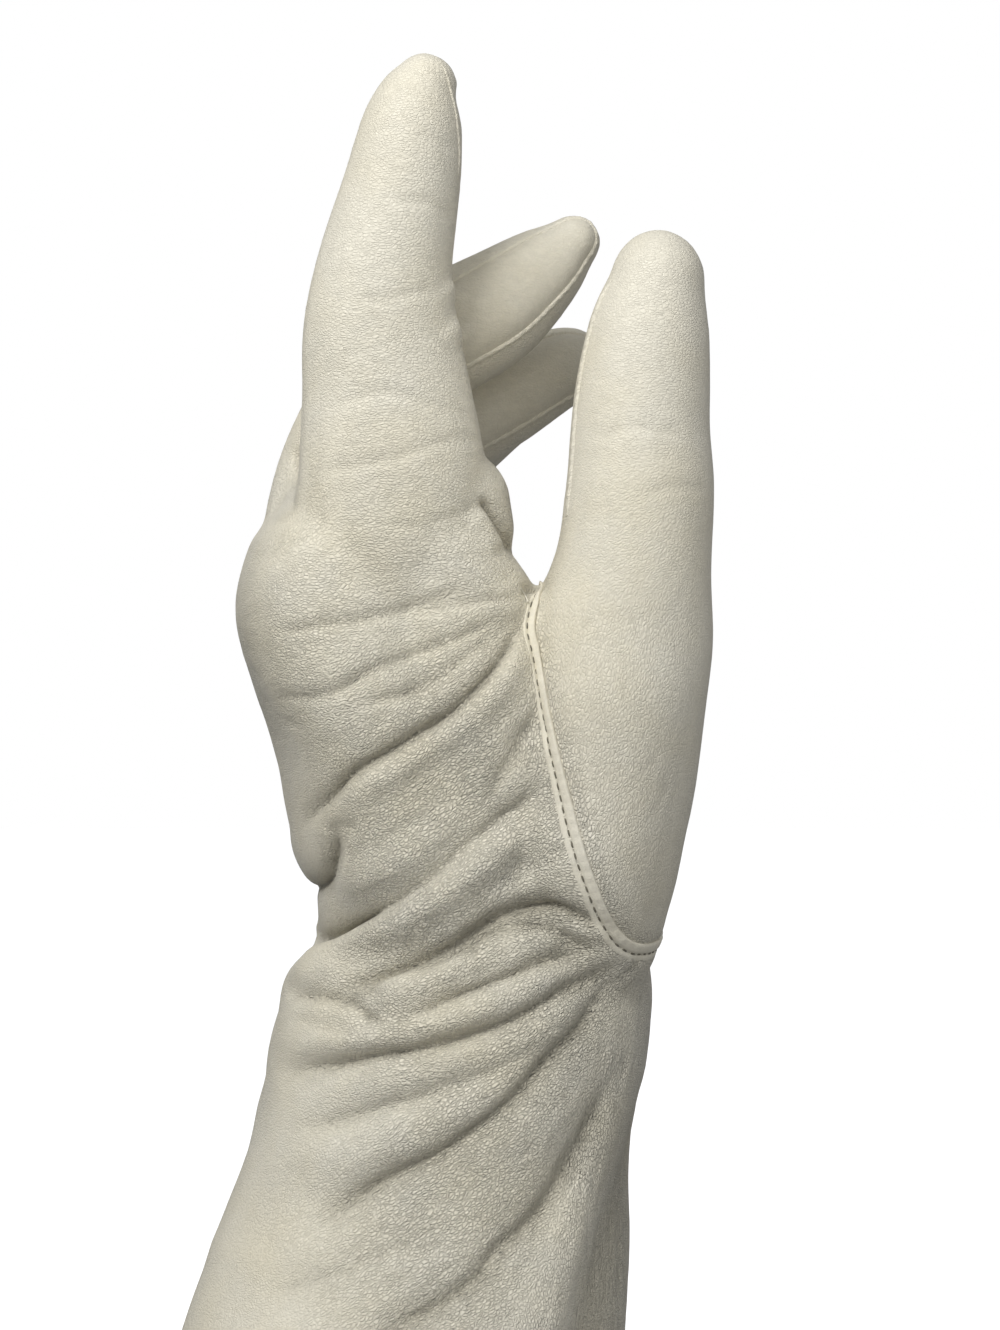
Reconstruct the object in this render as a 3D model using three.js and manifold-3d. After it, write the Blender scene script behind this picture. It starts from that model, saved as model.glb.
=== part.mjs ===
// A left-hand dress glove in cream leather, in the form it has on a hand: a long cuff gathered
// into rolls at the wrist, one skin for the palm and back, a forked gusset between each pair of
// fingers, and a set-in thumb whose seam carries a narrow welt.
//
// Millimetres. +Z runs from the cuff opening up the index finger, +X is the way the palm faces
// and +Y runs from the index finger to the little finger. The origin is the middle of the opening.

import * as THREE from "three";
import { mergeVertices } from "three/addons/utils/BufferGeometryUtils.js";
import Module from "manifold-3d";

// Driving dimensions

const WALL = 2; // leather with its knitted lining
const HEM_HEIGHT = 14; // the turned-in hem
const HEM_EXTRA = 0.8; // the second layer of leather there
const SEAM_GAP = 0.3; // between two panels at their seam
const WELT_WIDTH = 2.2;
const WELT_PROUD = 0.6; // how far the welt stands over the leather beside it
const GUSSET_SHARE = 0.69; // a gusset's width as a share of its finger's depth
const TOP_OF_PALM = 189;
const CUT_PAST = 60; // how far a cutting solid runs past the glove

// The cuff and palm, a row for each section: its height, its four outermost coordinates, and how
// squarely it is rounded, from 2 for an ellipse
const BODY_ROWS = [
  { z: 0, back: -43.0, palm: 42.6, near: -33.0, far: 33.0, square: 2.0 },
  { z: 19, back: -38.5, palm: 43.3, near: -31.0, far: 34.0, square: 2.0 },
  { z: 32, back: -34.9, palm: 43.9, near: -29.0, far: 35.0, square: 2.0 },
  { z: 49, back: -29.2, palm: 44.8, near: -25.0, far: 37.0, square: 2.0 },
  { z: 60, back: -24.7, palm: 44.9, near: -22.0, far: 38.0, square: 2.0 },
  { z: 73, back: -20.9, palm: 46.0, near: -21.5, far: 39.0, square: 2.1 },
  { z: 83, back: -19.3, palm: 48.0, near: -20.4, far: 40.5, square: 2.1 },
  { z: 93, back: -17.6, palm: 49.2, near: -19.8, far: 42.0, square: 2.2 },
  { z: 104, back: -15.2, palm: 46.5, near: -19.2, far: 45.0, square: 2.2 },
  { z: 115, back: -15.2, palm: 39.0, near: -19.2, far: 50.0, square: 2.3 },
  { z: 126, back: -16.4, palm: 31.0, near: -20.6, far: 55.0, square: 2.4 },
  { z: 136, back: -18.2, palm: 24.5, near: -21.4, far: 58.5, square: 2.5 },
  { z: 148, back: -23.0, palm: 18.5, near: -22.5, far: 60.5, square: 2.6 },
  { z: 160, back: -24.6, palm: 14.5, near: -22.5, far: 60.5, square: 2.6 },
  { z: 172, back: -21.4, palm: 11.5, near: -21.0, far: 58.5, square: 2.5 },
  { z: 180, back: -17.0, palm: 9.0, near: -18.0, far: 56.0, square: 2.4 },
];

// The fingers and the thumb, a row for each section: its centre, its half size from back to
// palm and its half size from side to side
const INDEX_ROWS = [
  { x: -0.4, y: -8.0, z: 154.6, deep: 15.1, wide: 11.5 },
  { x: 1.9, y: -11.0, z: 171.7, deep: 16.2, wide: 11.5 },
  { x: 2.8, y: -12.0, z: 183.6, deep: 16.2, wide: 11.2 },
  { x: 2.3, y: -12.6, z: 195.5, deep: 14.7, wide: 10.6 },
  { x: 1.3, y: -13.0, z: 207.3, deep: 13.4, wide: 10.3 },
  { x: 1.9, y: -13.3, z: 218.3, deep: 11.7, wide: 9.8 },
  { x: 4.9, y: -13.5, z: 231.9, deep: 10.2, wide: 9.2 },
  { x: 7.1, y: -13.5, z: 242.2, deep: 8.2, wide: 8.2 },
];
const MIDDLE_ROWS = [
  { x: -9.6, y: 8.0, z: 154.7, deep: 12.4, wide: 11.0 },
  { x: -7.6, y: 8.5, z: 176.0, deep: 12.4, wide: 10.6 },
  { x: -3.2, y: 8.5, z: 191.6, deep: 11.3, wide: 9.9 },
  { x: 4.2, y: 8.5, z: 204.0, deep: 10.6, wide: 9.8 },
  { x: 13.6, y: 8.5, z: 209.5, deep: 10.6, wide: 9.6 },
  { x: 21.6, y: 8.5, z: 214.3, deep: 9.9, wide: 9.2 },
  { x: 31.0, y: 8.5, z: 220.6, deep: 7.4, wide: 7.6 },
];
const RING_ROWS = [
  { x: -8.4, y: 29.0, z: 149.4, deep: 11.7, wide: 10.6 },
  { x: -6.8, y: 29.0, z: 169.5, deep: 11.7, wide: 10.2 },
  { x: -1.3, y: 29.0, z: 184.2, deep: 10.6, wide: 9.6 },
  { x: 9.7, y: 29.0, z: 192.1, deep: 9.9, wide: 9.4 },
  { x: 21.8, y: 29.0, z: 199.1, deep: 9.2, wide: 9.0 },
  { x: 32.2, y: 29.0, z: 204.7, deep: 7.7, wide: 7.8 },
];
const LITTLE_ROWS = [
  { x: -6.0, y: 46.5, z: 141.8, deep: 10.6, wide: 9.6 },
  { x: -6.4, y: 48.0, z: 162.6, deep: 10.2, wide: 9.2 },
  { x: 0.4, y: 48.5, z: 177.7, deep: 9.1, wide: 8.6 },
  { x: 10.3, y: 48.5, z: 188.7, deep: 8.3, wide: 8.3 },
  { x: 18.8, y: 48.0, z: 195.7, deep: 7.2, wide: 7.8 },
  { x: 25.8, y: 47.5, z: 200.0, deep: 6.0, wide: 6.8 },
];
const THUMB_ROWS = [
  { x: 33.0, y: 5.0, z: 86.0, deep: 7.0, wide: 9.0 },
  { x: 35.4, y: 2.0, z: 98.6, deep: 13.0, wide: 15.0 },
  { x: 36.1, y: 0.0, z: 109.3, deep: 16.1, wide: 17.5 },
  { x: 36.9, y: -2.0, z: 119.9, deep: 16.9, wide: 18.5 },
  { x: 38.6, y: -4.0, z: 132.1, deep: 17.2, wide: 18.0 },
  { x: 40.9, y: -7.0, z: 146.0, deep: 16.7, wide: 16.5 },
  { x: 42.6, y: -9.0, z: 158.0, deep: 15.8, wide: 14.5 },
  { x: 43.9, y: -11.0, z: 168.3, deep: 13.7, wide: 13.0 },
  { x: 45.2, y: -12.0, z: 180.2, deep: 12.7, wide: 12.2 },
  { x: 45.5, y: -12.0, z: 190.5, deep: 12.0, wide: 11.8 },
  { x: 46.1, y: -12.0, z: 199.0, deep: 11.5, wide: 11.2 },
  { x: 47.2, y: -12.0, z: 208.4, deep: 10.3, wide: 10.2 },
  { x: 48.1, y: -12.0, z: 215.8, deep: 8.4, wide: 8.8 },
];
// The skin stretched from the palm to the thumb
const WEB_ROWS = [
  { x: 18.0, y: 1.5, z: 102.0, deep: 13.0, wide: 10.0 },
  { x: 17.0, y: -1.0, z: 118.0, deep: 19.0, wide: 15.5 },
  { x: 17.0, y: -4.0, z: 134.0, deep: 19.5, wide: 16.5 },
  { x: 16.5, y: -7.0, z: 148.0, deep: 18.0, wide: 15.0 },
  { x: 14.5, y: -9.0, z: 159.0, deep: 16.6, wide: 12.5 },
  { x: 11.5, y: -10.5, z: 169.0, deep: 12.5, wide: 10.5 },
];
// Each limb with the point its tip reaches and how many facets it has
const LIMBS = {
  index: { rows: INDEX_ROWS, tip: [9.2, -13.5, 253.2], around: 12, along: 10 },
  middle: { rows: MIDDLE_ROWS, tip: [38.2, 8.5, 227.0], around: 10, along: 10 },
  ring: { rows: RING_ROWS, tip: [41.0, 29.0, 207.7], around: 10, along: 9 },
  little: { rows: LITTLE_ROWS, tip: [32.0, 47.0, 202.8], around: 10, along: 7 },
  thumb: { rows: THUMB_ROWS, tip: [49.0, -12.0, 224.7], around: 14, along: 12 },
  web: { rows: WEB_ROWS, tip: [12.0, -11.0, 178.5], around: 10, along: 5 },
};
// The forked gussets: the fingers each one joins, and the height it starts at
const GUSSETS = {
  gusset_index_middle: { near: LIMBS.index, far: LIMBS.middle, foot: 180 },
  gusset_middle_ring: { near: LIMBS.middle, far: LIMBS.ring, foot: 177 },
  gusset_ring_little: { near: LIMBS.ring, far: LIMBS.little, foot: 168 },
};

// The folds, a row for each: its two ends and a middle point, seen from the side it lies on.
// A positive depth presses a valley in, and a negative one raises a roll
const FOLDS = [
  { side: "near", x0: -22, z0: 126, x1: 2, z1: 134, x2: 24, z2: 152, depth: 3.0, width: 5.5 },
  { side: "near", x0: -15, z0: 111, x1: -8, z1: 115, x2: -5, z2: 123, depth: 4.2, width: 3.6 },
  { side: "near", x0: -16, z0: 101.5, x1: 4, z1: 109, x2: 22, z2: 131, depth: 3.2, width: 3.6 },
  { side: "near", x0: -20, z0: 96, x1: 6, z1: 109, x2: 27, z2: 127, depth: -2.6, width: 4.5 },
  { side: "near", x0: -16, z0: 92, x1: 10, z1: 103, x2: 32, z2: 108, depth: 3.6, width: 4.2 },
  { side: "near", x0: 8, z0: 84, x1: 26, z1: 92, x2: 44, z2: 98, depth: 2.6, width: 4.2 },
  { side: "near", x0: -16, z0: 88, x1: 8, z1: 90, x2: 36, z2: 103, depth: -1.6, width: 4.5 },
  { side: "near", x0: -18, z0: 70, x1: 16, z1: 72, x2: 40, z2: 92, depth: 2.4, width: 6.0 },
  { side: "near", x0: 20, z0: 40, x1: 32, z1: 62, x2: 42, z2: 92, depth: -2.4, width: 6.5 },
  { side: "near", x0: 0, z0: 42, x1: 20, z1: 50, x2: 34, z2: 66, depth: 2.0, width: 6.5 },
  { side: "near", x0: -18, z0: 158, x1: 4, z1: 162, x2: 22, z2: 164, depth: 1.2, width: 4.0 },
  { side: "near", x0: -14, z0: 151, x1: 6, z1: 154, x2: 24, z2: 162, depth: 1.4, width: 3.5 },
  { side: "far", x0: -20, z0: 111, x1: 4, z1: 104, x2: 44, z2: 108, depth: 3.4, width: 4.4 },
  { side: "far", x0: -18, z0: 101.5, x1: 8, z1: 94, x2: 50, z2: 96, depth: 3.4, width: 4.0 },
  { side: "far", x0: -20, z0: 106, x1: 6, z1: 99, x2: 48, z2: 102, depth: -2.2, width: 4.0 },
  { side: "far", x0: -20, z0: 92, x1: 6, z1: 84, x2: 50, z2: 84, depth: 2.6, width: 5.0 },
  { side: "far", x0: -24, z0: 70, x1: 8, z1: 64, x2: 48, z2: 76, depth: 2.0, width: 6.0 },
];
const FOLD_STEPS = 10; // straight pieces that a fold's curve is measured along
const FOLD_FADE = 0.35; // how far past the outline a fold reaches onto the other side

// How finely the leather is faced: the cuff and palm's levels in three stretches
const BODY_AROUND = 30;
const BODY_LEVELS = [
  { from: 0, to: 60, steps: 5 },
  { from: 60, to: 130, steps: 20 },
  { from: 130, to: 180, steps: 6 },
];
const TIP_RINGS = 3;

// The thumb's seam seen from the near side, from the crotch down to the wrist
const SEAM_POINTS = [
  [27.6, 163.2], [26.8, 157.9], [28.0, 151.1], [29.4, 142.7], [31.0, 134.3], [33.4, 124.2],
  [35.9, 116.1], [38.5, 109.3], [41.2, 104.3], [44.2, 101.2], [48.5, 100.1],
];
// The same seam seen from the palm: how far over it reaches at each height
const PALM_SEAM_POINTS = [
  [-14.0, 99.0], [-2.0, 100.5], [5.0, 105.0], [9.0, 114.0], [10.0, 126.0],
  [9.5, 142.0], [7.0, 158.0], [3.6, 172.0], [0.9, 192.0], [0.9, 236.0],
];

// Curves and sections

// One named column of a table at a place between its rows, by a Catmull-Rom curve
function columnAt(rows, name, place) {
  const last = rows.length - 1;
  const i = Math.min(Math.floor(place), last - 1);
  const t = place - i;
  const value = (k) => rows[Math.min(Math.max(k, 0), last)][name];
  const [a, b, c, d] = [value(i - 1), value(i), value(i + 1), value(i + 2)];
  const bend = (2 * a - 5 * b + 4 * c - d) * t + (3 * b - a - 3 * c + d) * t * t;
  return b + 0.5 * t * (c - a + bend);
}

// The place between a table's rows that lies at a height
function placeAtHeight(rows, z) {
  const last = rows.length - 1;
  let i = 0;
  while (i < last - 1 && rows[i + 1].z < z) i += 1;
  const [low, high] = [rows[i].z, rows[i + 1].z];
  return i + Math.min(Math.max((z - low) / (high - low), 0), 1);
}

const foldLines = FOLDS.map((fold) => {
  const [start, end] = [new THREE.Vector2(fold.x0, fold.z0), new THREE.Vector2(fold.x2, fold.z2)];
  const handle = new THREE.Vector2(fold.x1, fold.z1)
    .multiplyScalar(2)
    .addScaledVector(start, -0.5)
    .addScaledVector(end, -0.5);
  return new THREE.QuadraticBezierCurve(start, handle, end).getPoints(FOLD_STEPS);
});

// Distance from a point to a fold's line, and how far along the line that is, from 0 to 1
function alongLine(line, x, z) {
  let [near, share] = [Infinity, 0];
  for (let i = 0; i < FOLD_STEPS; i += 1) {
    const [a, b] = [line[i], line[i + 1]];
    const [dx, dz] = [b.x - a.x, b.y - a.y];
    const t = ((x - a.x) * dx + (z - a.y) * dz) / (dx * dx + dz * dz);
    const s = Math.min(Math.max(t, 0), 1);
    const away = Math.hypot(x - a.x - s * dx, z - a.y - s * dz);
    if (away < near) [near, share] = [away, (i + s) / FOLD_STEPS];
  }
  return [near, share];
}

// How far the folds press the leather in at a point whose outward direction is given
function foldDepth(x, z, outward) {
  let depth = 0;
  FOLDS.forEach((fold, i) => {
    const facing = fold.side === "near" ? -outward.y : outward.y;
    const side = THREE.MathUtils.smoothstep(facing, -FOLD_FADE, 0);
    if (side === 0) return;
    const [away, share] = alongLine(foldLines[i], x, z);
    const taper = Math.sin(Math.PI * Math.min(0.5, 0.15 + share, 1.05 - share));
    depth += side * taper * fold.depth * Math.exp(-((away / fold.width) ** 2));
  });
  return depth;
}

// A point of the skin: moved in along its outward direction by the inset and by the folds
function skinPoint(point, outward, inset) {
  return point.addScaledVector(outward, -inset - foldDepth(point.x, point.z, outward));
}

// A closed skin through rings that all have the same number of points
function loft(rings) {
  const around = rings[0].length;
  const middle = (ring) =>
    ring.reduce((sum, p) => sum.add(p), new THREE.Vector3()).divideScalar(around);
  const points = [...rings.flat(), middle(rings[0]), middle(rings.at(-1))];
  const [foot, head] = [points.length - 2, points.length - 1];
  const faces = [];
  for (let j = 0; j < around; j += 1) {
    const k = (j + 1) % around;
    for (let i = 0; i < rings.length - 1; i += 1) {
      const [low, high] = [i * around, (i + 1) * around];
      faces.push(low + j, low + k, high + k, low + j, high + k, high + j);
    }
    const top = (rings.length - 1) * around;
    faces.push(foot, k, j, head, top + j, top + k);
  }
  return new THREE.BufferGeometry().setFromPoints(points).setIndex(faces);
}

// One ring of a limb: an ellipse square to its centre line, whose wide axis keeps to Y. The tilt
// turns it from the limb's side, at 0, towards its tip, at a quarter turn
function limbRing(centre, tangent, size, tilt, reach, inset, around) {
  const across = new THREE.Vector3(0, 1, 0).addScaledVector(tangent, -tangent.y).normalize();
  const forward = across.clone().cross(tangent);
  const [level, rise] = [Math.cos(tilt), Math.sin(tilt)];
  return Array.from({ length: around }, (_, j) => {
    const angle = (2 * Math.PI * j) / around;
    const [c, s] = [Math.cos(angle) * level, Math.sin(angle) * level];
    const outward = forward.clone().multiplyScalar(c / size.deep)
      .addScaledVector(across, s / size.wide)
      .addScaledVector(tangent, rise / reach)
      .normalize();
    const point = centre.clone().addScaledVector(forward, size.deep * c)
      .addScaledVector(across, size.wide * s)
      .addScaledVector(tangent, reach * rise);
    return skinPoint(point, outward, inset);
  });
}

// A finger, thumb or pad: rings along its rows, then a rounded tip. Its inside starts a ring
// later, clear of the flat foot
function limbSkin({ rows, tip, around, along }, inset) {
  const last = rows.length - 1;
  const column = (name, place) => columnAt(rows, name, place);
  const centreAt = (place) => new THREE.Vector3(...["x", "y", "z"].map((n) => column(n, place)));
  const rings = [];
  for (let i = inset > 0 ? 1 : 0; i <= along; i += 1) {
    const place = (last * i) / along;
    const [before, after] = [Math.max(place - 0.1, 0), Math.min(place + 0.1, last)];
    const tangent = centreAt(after).sub(centreAt(before)).normalize();
    const size = { deep: column("deep", place), wide: column("wide", place) };
    rings.push(limbRing(centreAt(place), tangent, size, 0, 1, inset, around));
  }
  const end = centreAt(last);
  const toTip = new THREE.Vector3(...tip).sub(end);
  const [reach, tangent] = [toTip.length(), toTip.clone().normalize()];
  for (let i = 1; i <= TIP_RINGS; i += 1) {
    const tilt = (0.5 * Math.PI * i) / (TIP_RINGS + 0.4);
    rings.push(limbRing(end, tangent, rows[last], tilt, reach, inset, around));
  }
  return loft(rings);
}

// One level ring of the cuff and palm, tilted towards the top of the palm as a limb's tip is
function bodyRing(z, tilt, inset) {
  const place = placeAtHeight(BODY_ROWS, z);
  const at = (name) => columnAt(BODY_ROWS, name, place);
  const [middleX, middleY] = [(at("back") + at("palm")) / 2, (at("near") + at("far")) / 2];
  const [halfX, halfY] = [(at("palm") - at("back")) / 2, (at("far") - at("near")) / 2];
  const power = 2 / at("square");
  const squared = (value) => Math.sign(value) * Math.abs(value) ** power;
  const [level, rise, height] = [Math.cos(tilt), Math.sin(tilt), TOP_OF_PALM - BODY_ROWS.at(-1).z];
  return Array.from({ length: BODY_AROUND }, (_, j) => {
    const angle = (2 * Math.PI * j) / BODY_AROUND;
    const [c, s] = [Math.cos(angle), Math.sin(angle)];
    const [squareX, squareY] = [squared(c) * level, squared(s) * level];
    const outward = new THREE.Vector3((c * level) / halfX, (s * level) / halfY, rise / height);
    const [x, y] = [middleX + halfX * squareX, middleY + halfY * squareY];
    const point = new THREE.Vector3(x, y, z + height * rise);
    return skinPoint(point, outward.normalize(), inset);
  });
}

// The cuff and palm with a domed top. The inside starts below the hem, so that it cuts it open
function bodySkin(inset) {
  const levels = BODY_LEVELS.flatMap(({ from, to, steps }) =>
    Array.from({ length: steps }, (_, i) => from + ((to - from) * i) / steps));
  const shoulder = BODY_ROWS.at(-1).z;
  const rings = [];
  if (inset > 0) {
    const hemInset = inset + HEM_EXTRA;
    rings.push(bodyRing(0, 0, hemInset).map((p) => p.setZ(-HEM_EXTRA - WALL)));
    for (const z of [0, HEM_HEIGHT / 2, HEM_HEIGHT]) rings.push(bodyRing(z, 0, hemInset));
  }
  const start = inset > 0 ? HEM_HEIGHT + 0.5 : 0;
  for (const z of [...levels.filter((z) => z >= start), shoulder]) {
    rings.push(bodyRing(z, 0, inset));
  }
  for (let i = 1; i <= TIP_RINGS; i += 1) {
    rings.push(bodyRing(shoulder, (0.5 * Math.PI * i) / (TIP_RINGS + 0.4), inset));
  }
  return loft(rings);
}

// Solids, cut and joined

const wasm = await Module();
wasm.setup();

function solid(geometry) {
  const bare = geometry.clone();
  for (const name of ["normal", "uv"]) bare.deleteAttribute(name);
  const merged = bare.index ? bare : mergeVertices(bare, 1e-4);
  const vertProperties = merged.attributes.position.array;
  const triVerts = new Uint32Array(merged.index.array);
  return new wasm.Manifold(new wasm.Mesh({ numProp: 3, vertProperties, triVerts }));
}

const unite = (solids) => solids.reduce((sum, next) => sum.add(next));

// The whole glove as one filled form, moved in by the inset
function gloveForm(inset) {
  const limbs = Object.values(LIMBS).map((limb) => solid(limbSkin(limb, inset)));
  return unite([solid(bodySkin(inset)), ...limbs]);
}

// A flat outline drawn on the X-Z or Y-Z plane and run through the glove square to that plane
function cutter(outline, plane, from, to) {
  const shape = new THREE.Shape(outline.map(([a, b]) => new THREE.Vector2(a, b)));
  const geometry = new THREE.ExtrudeGeometry(shape, { depth: to - from, bevelEnabled: false });
  geometry.translate(0, 0, from);
  if (plane === "xz") geometry.rotateX(Math.PI / 2).scale(1, -1, 1);
  if (plane === "yz") geometry.rotateX(Math.PI / 2).rotateZ(Math.PI / 2);
  for (const name of ["normal", "uv"]) geometry.deleteAttribute(name);
  const merged = mergeVertices(geometry, 1e-4);
  if (plane === "xz") {
    const order = merged.index.array;
    for (let i = 0; i < order.length; i += 3) [order[i], order[i + 1]] = [order[i + 1], order[i]];
  }
  return solid(merged);
}

// A curve through points, each moved sideways by the same amount
function movedCurve(points, aside, steps) {
  const curve = new THREE.SplineCurve(points.map(([a, b]) => new THREE.Vector2(a, b)));
  return Array.from({ length: steps + 1 }, (_, i) => {
    const [point, way] = [curve.getPoint(i / steps), curve.getTangent(i / steps)];
    return [point.x - way.y * aside, point.y + way.x * aside];
  });
}

// Everything on the thumb's side of its seam, with the seam moved out by a margin
function thumbSide(margin) {
  const STEPS = 12;
  const seam = movedCurve(SEAM_POINTS, -margin, STEPS);
  const [crotch, wrist] = [seam[0], seam.at(-1)];
  const [right, top] = [95, 250];
  const sideView = [
    ...seam, [right, wrist[1]], [right, top], [crotch[0], top],
  ];
  const palmSeam = movedCurve(PALM_SEAM_POINTS, -margin, STEPS);
  const palmView = [
    ...palmSeam, [-CUT_PAST, palmSeam.at(-1)[1]], [-CUT_PAST, palmSeam[0][1]],
  ];
  const fromNear = cutter(sideView, "xz", -CUT_PAST, CUT_PAST);
  const fromPalm = cutter(palmView, "yz", 0, right + CUT_PAST);
  return fromNear.intersect(fromPalm);
}

// A slab along one side of a finger above a foot height, between two depths in Y
function sideSlab({ rows, tip }, foot, yFrom, yTo, margin) {
  const STEPS = 6;
  const last = rows.length - 1;
  const centreAt = (place) =>
    new THREE.Vector3(columnAt(rows, "x", place), 0, columnAt(rows, "z", place));
  const [end, point] = [centreAt(last), new THREE.Vector3(tip[0], 0, tip[2])];
  const rings = [];
  const addRing = (centre, tangent, half) => {
    const forward = new THREE.Vector3(tangent.z, 0, -tangent.x);
    const corner = (side, y) => centre.clone().addScaledVector(forward, side * half).setY(y);
    rings.push([corner(-1, yFrom), corner(1, yFrom), corner(1, yTo), corner(-1, yTo)]);
  };
  const start = placeAtHeight(rows, foot - margin);
  for (let i = 0; i <= STEPS; i += 1) {
    const place = start + ((last - start) * i) / STEPS;
    const ahead = centreAt(Math.min(place + 0.1, last)).sub(centreAt(Math.max(place - 0.1, 0)));
    const half = columnAt(rows, "deep", place) * GUSSET_SHARE + margin;
    addRing(centreAt(place), ahead.normalize(), half);
  }
  const tangent = point.clone().sub(end).normalize();
  const TAPER = [[0.45, 0.8], [0.85, 0.45]];
  for (const [reach, share] of TAPER) {
    const half = rows[last].deep * GUSSET_SHARE * share + margin;
    addRing(end.clone().lerp(point, reach).addScaledVector(tangent, margin), tangent, half);
  }
  return solid(loft(rings));
}

// The room of the forked gusset between two neighbouring fingers
function gussetRoom({ near, far, foot }, margin) {
  const [nearY, farY] = [near.tip[1], far.tip[1]];
  const middle = (nearY + farY) / 2;
  const nearSide = sideSlab(near, foot, nearY + 1, middle + 0.2, margin);
  return nearSide.add(sideSlab(far, foot, middle - 0.2, farY - 1, margin));
}

// The largest body of a cut, without the crumbs that a cut can leave
const largest = (cut) => cut.decompose().sort((a, b) => b.volume() - a.volume())[0];

const outside = gloveForm(0);
const inside = gloveForm(WALL);
const shell = outside.subtract(inside);

const half = WELT_WIDTH / 2;
const weltRoom = thumbSide(half).subtract(thumbSide(-half));
const weltSkin = gloveForm(-WELT_PROUD).subtract(inside);

const pieces = {
  thumb: largest(shell.intersect(thumbSide(-half - SEAM_GAP))),
  thumb_welt: largest(weltSkin.intersect(weltRoom)),
};
let skin = shell.subtract(thumbSide(half + SEAM_GAP));
for (const [name, gusset] of Object.entries(GUSSETS)) {
  pieces[name] = largest(shell.intersect(gussetRoom(gusset, 0)));
  skin = skin.subtract(gussetRoom(gusset, SEAM_GAP));
}
pieces.hand_and_cuff = largest(skin);

// The assembly

const LEATHER = { color: 0xdedac8, roughness: 0.55, metalness: 0 };
const GUSSET_LEATHER = { color: 0xd3cdb9, roughness: 0.6, metalness: 0 };
const finishes = {
  hand_and_cuff: LEATHER,
  thumb: LEATHER,
  thumb_welt: LEATHER,
  gusset_index_middle: GUSSET_LEATHER,
  gusset_middle_ring: GUSSET_LEATHER,
  gusset_ring_little: GUSSET_LEATHER,
};

const glove = new THREE.Group();
glove.name = "left_glove";
for (const [name, finish] of Object.entries(finishes)) {
  const { vertProperties, triVerts, numProp } = pieces[name].getMesh();
  const corners = new THREE.InterleavedBuffer(vertProperties, numProp);
  const geometry = new THREE.BufferGeometry()
    .setAttribute("position", new THREE.InterleavedBufferAttribute(corners, 3, 0))
    .setIndex(new THREE.BufferAttribute(triVerts, 1));
  const mesh = new THREE.Mesh(geometry, new THREE.MeshStandardMaterial(finish));
  mesh.name = name;
  glove.add(mesh);
}

export default glove;
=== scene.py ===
import math
from functools import partial

import bmesh
import bpy
import numpy as np
from bpy.props import FloatProperty, FloatVectorProperty, PointerProperty
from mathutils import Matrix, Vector, noise
from mathutils.bvhtree import BVHTree
from mathutils.kdtree import KDTree


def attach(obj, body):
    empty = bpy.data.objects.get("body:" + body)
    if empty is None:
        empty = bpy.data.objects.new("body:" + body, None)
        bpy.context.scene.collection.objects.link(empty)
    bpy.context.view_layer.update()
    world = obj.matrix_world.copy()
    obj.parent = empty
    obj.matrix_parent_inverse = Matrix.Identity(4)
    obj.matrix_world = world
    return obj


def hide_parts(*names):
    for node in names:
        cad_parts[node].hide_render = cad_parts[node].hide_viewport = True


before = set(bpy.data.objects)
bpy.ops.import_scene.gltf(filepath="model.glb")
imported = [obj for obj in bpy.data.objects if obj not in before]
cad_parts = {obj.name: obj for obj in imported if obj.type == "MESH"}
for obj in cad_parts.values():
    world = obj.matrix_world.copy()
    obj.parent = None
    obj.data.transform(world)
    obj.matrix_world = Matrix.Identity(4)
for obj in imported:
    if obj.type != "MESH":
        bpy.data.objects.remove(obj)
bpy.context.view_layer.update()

bl_info = {
    "name": "Leather dress glove",
    "version": (1, 0, 0),
    "blender": (4, 5, 0),
    "location": "3D View > Sidebar > Glove",
    "description": "A long left-hand dress glove in cream leather with a knitted lining",
    "category": "Add Mesh",
}

MM = 0.001

# Farther to either side than any of the glove
OUTSIDE = 120


def columns(names, rows):
    """A table with named columns."""
    return {name: np.array([row[i] for row in rows], float) for i, name in enumerate(names.split())}


# The form, in millimetres. +Z runs from the cuff's opening up the index finger, +X is the way
# the palm faces and +Y runs from the index finger to the little finger.

BODY = columns("z back palm near far square", [
    (-14, -43.0, 42.6, -33.0, 33.0, 2.0),
    (0, -43.0, 42.6, -33.0, 33.0, 2.0),
    (19, -38.5, 43.3, -31.0, 34.0, 2.0),
    (32, -34.9, 43.9, -29.0, 35.0, 2.0),
    (49, -29.2, 44.8, -25.0, 37.0, 2.0),
    (60, -24.7, 44.9, -22.0, 38.0, 2.0),
    (73, -20.9, 45.6, -21.5, 39.0, 2.1),
    (83, -19.4, 47.6, -20.4, 40.5, 2.1),
    (91, -17.6, 48.8, -19.8, 42.0, 2.2),
    (97, -14.6, 48.6, -19.3, 43.2, 2.2),
    (101, -11.0, 47.6, -18.8, 44.2, 2.2),
    (105, -10.8, 46.4, -18.7, 45.4, 2.2),
    (111, -12.6, 42.6, -18.8, 48.0, 2.2),
    (117, -15.4, 37.6, -19.3, 51.0, 2.3),
    (126, -16.9, 31.0, -20.6, 55.0, 2.4),
    (136, -18.7, 24.5, -21.4, 58.5, 2.5),
    (148, -23.0, 18.5, -22.5, 60.5, 2.6),
    (160, -25.2, 14.5, -22.5, 60.5, 2.6),
    (172, -22.8, 11.5, -21.0, 58.5, 2.5),
    (180, -17.0, 9.0, -18.0, 56.0, 2.4),
])
TOP_OF_PALM = 189.0

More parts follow.
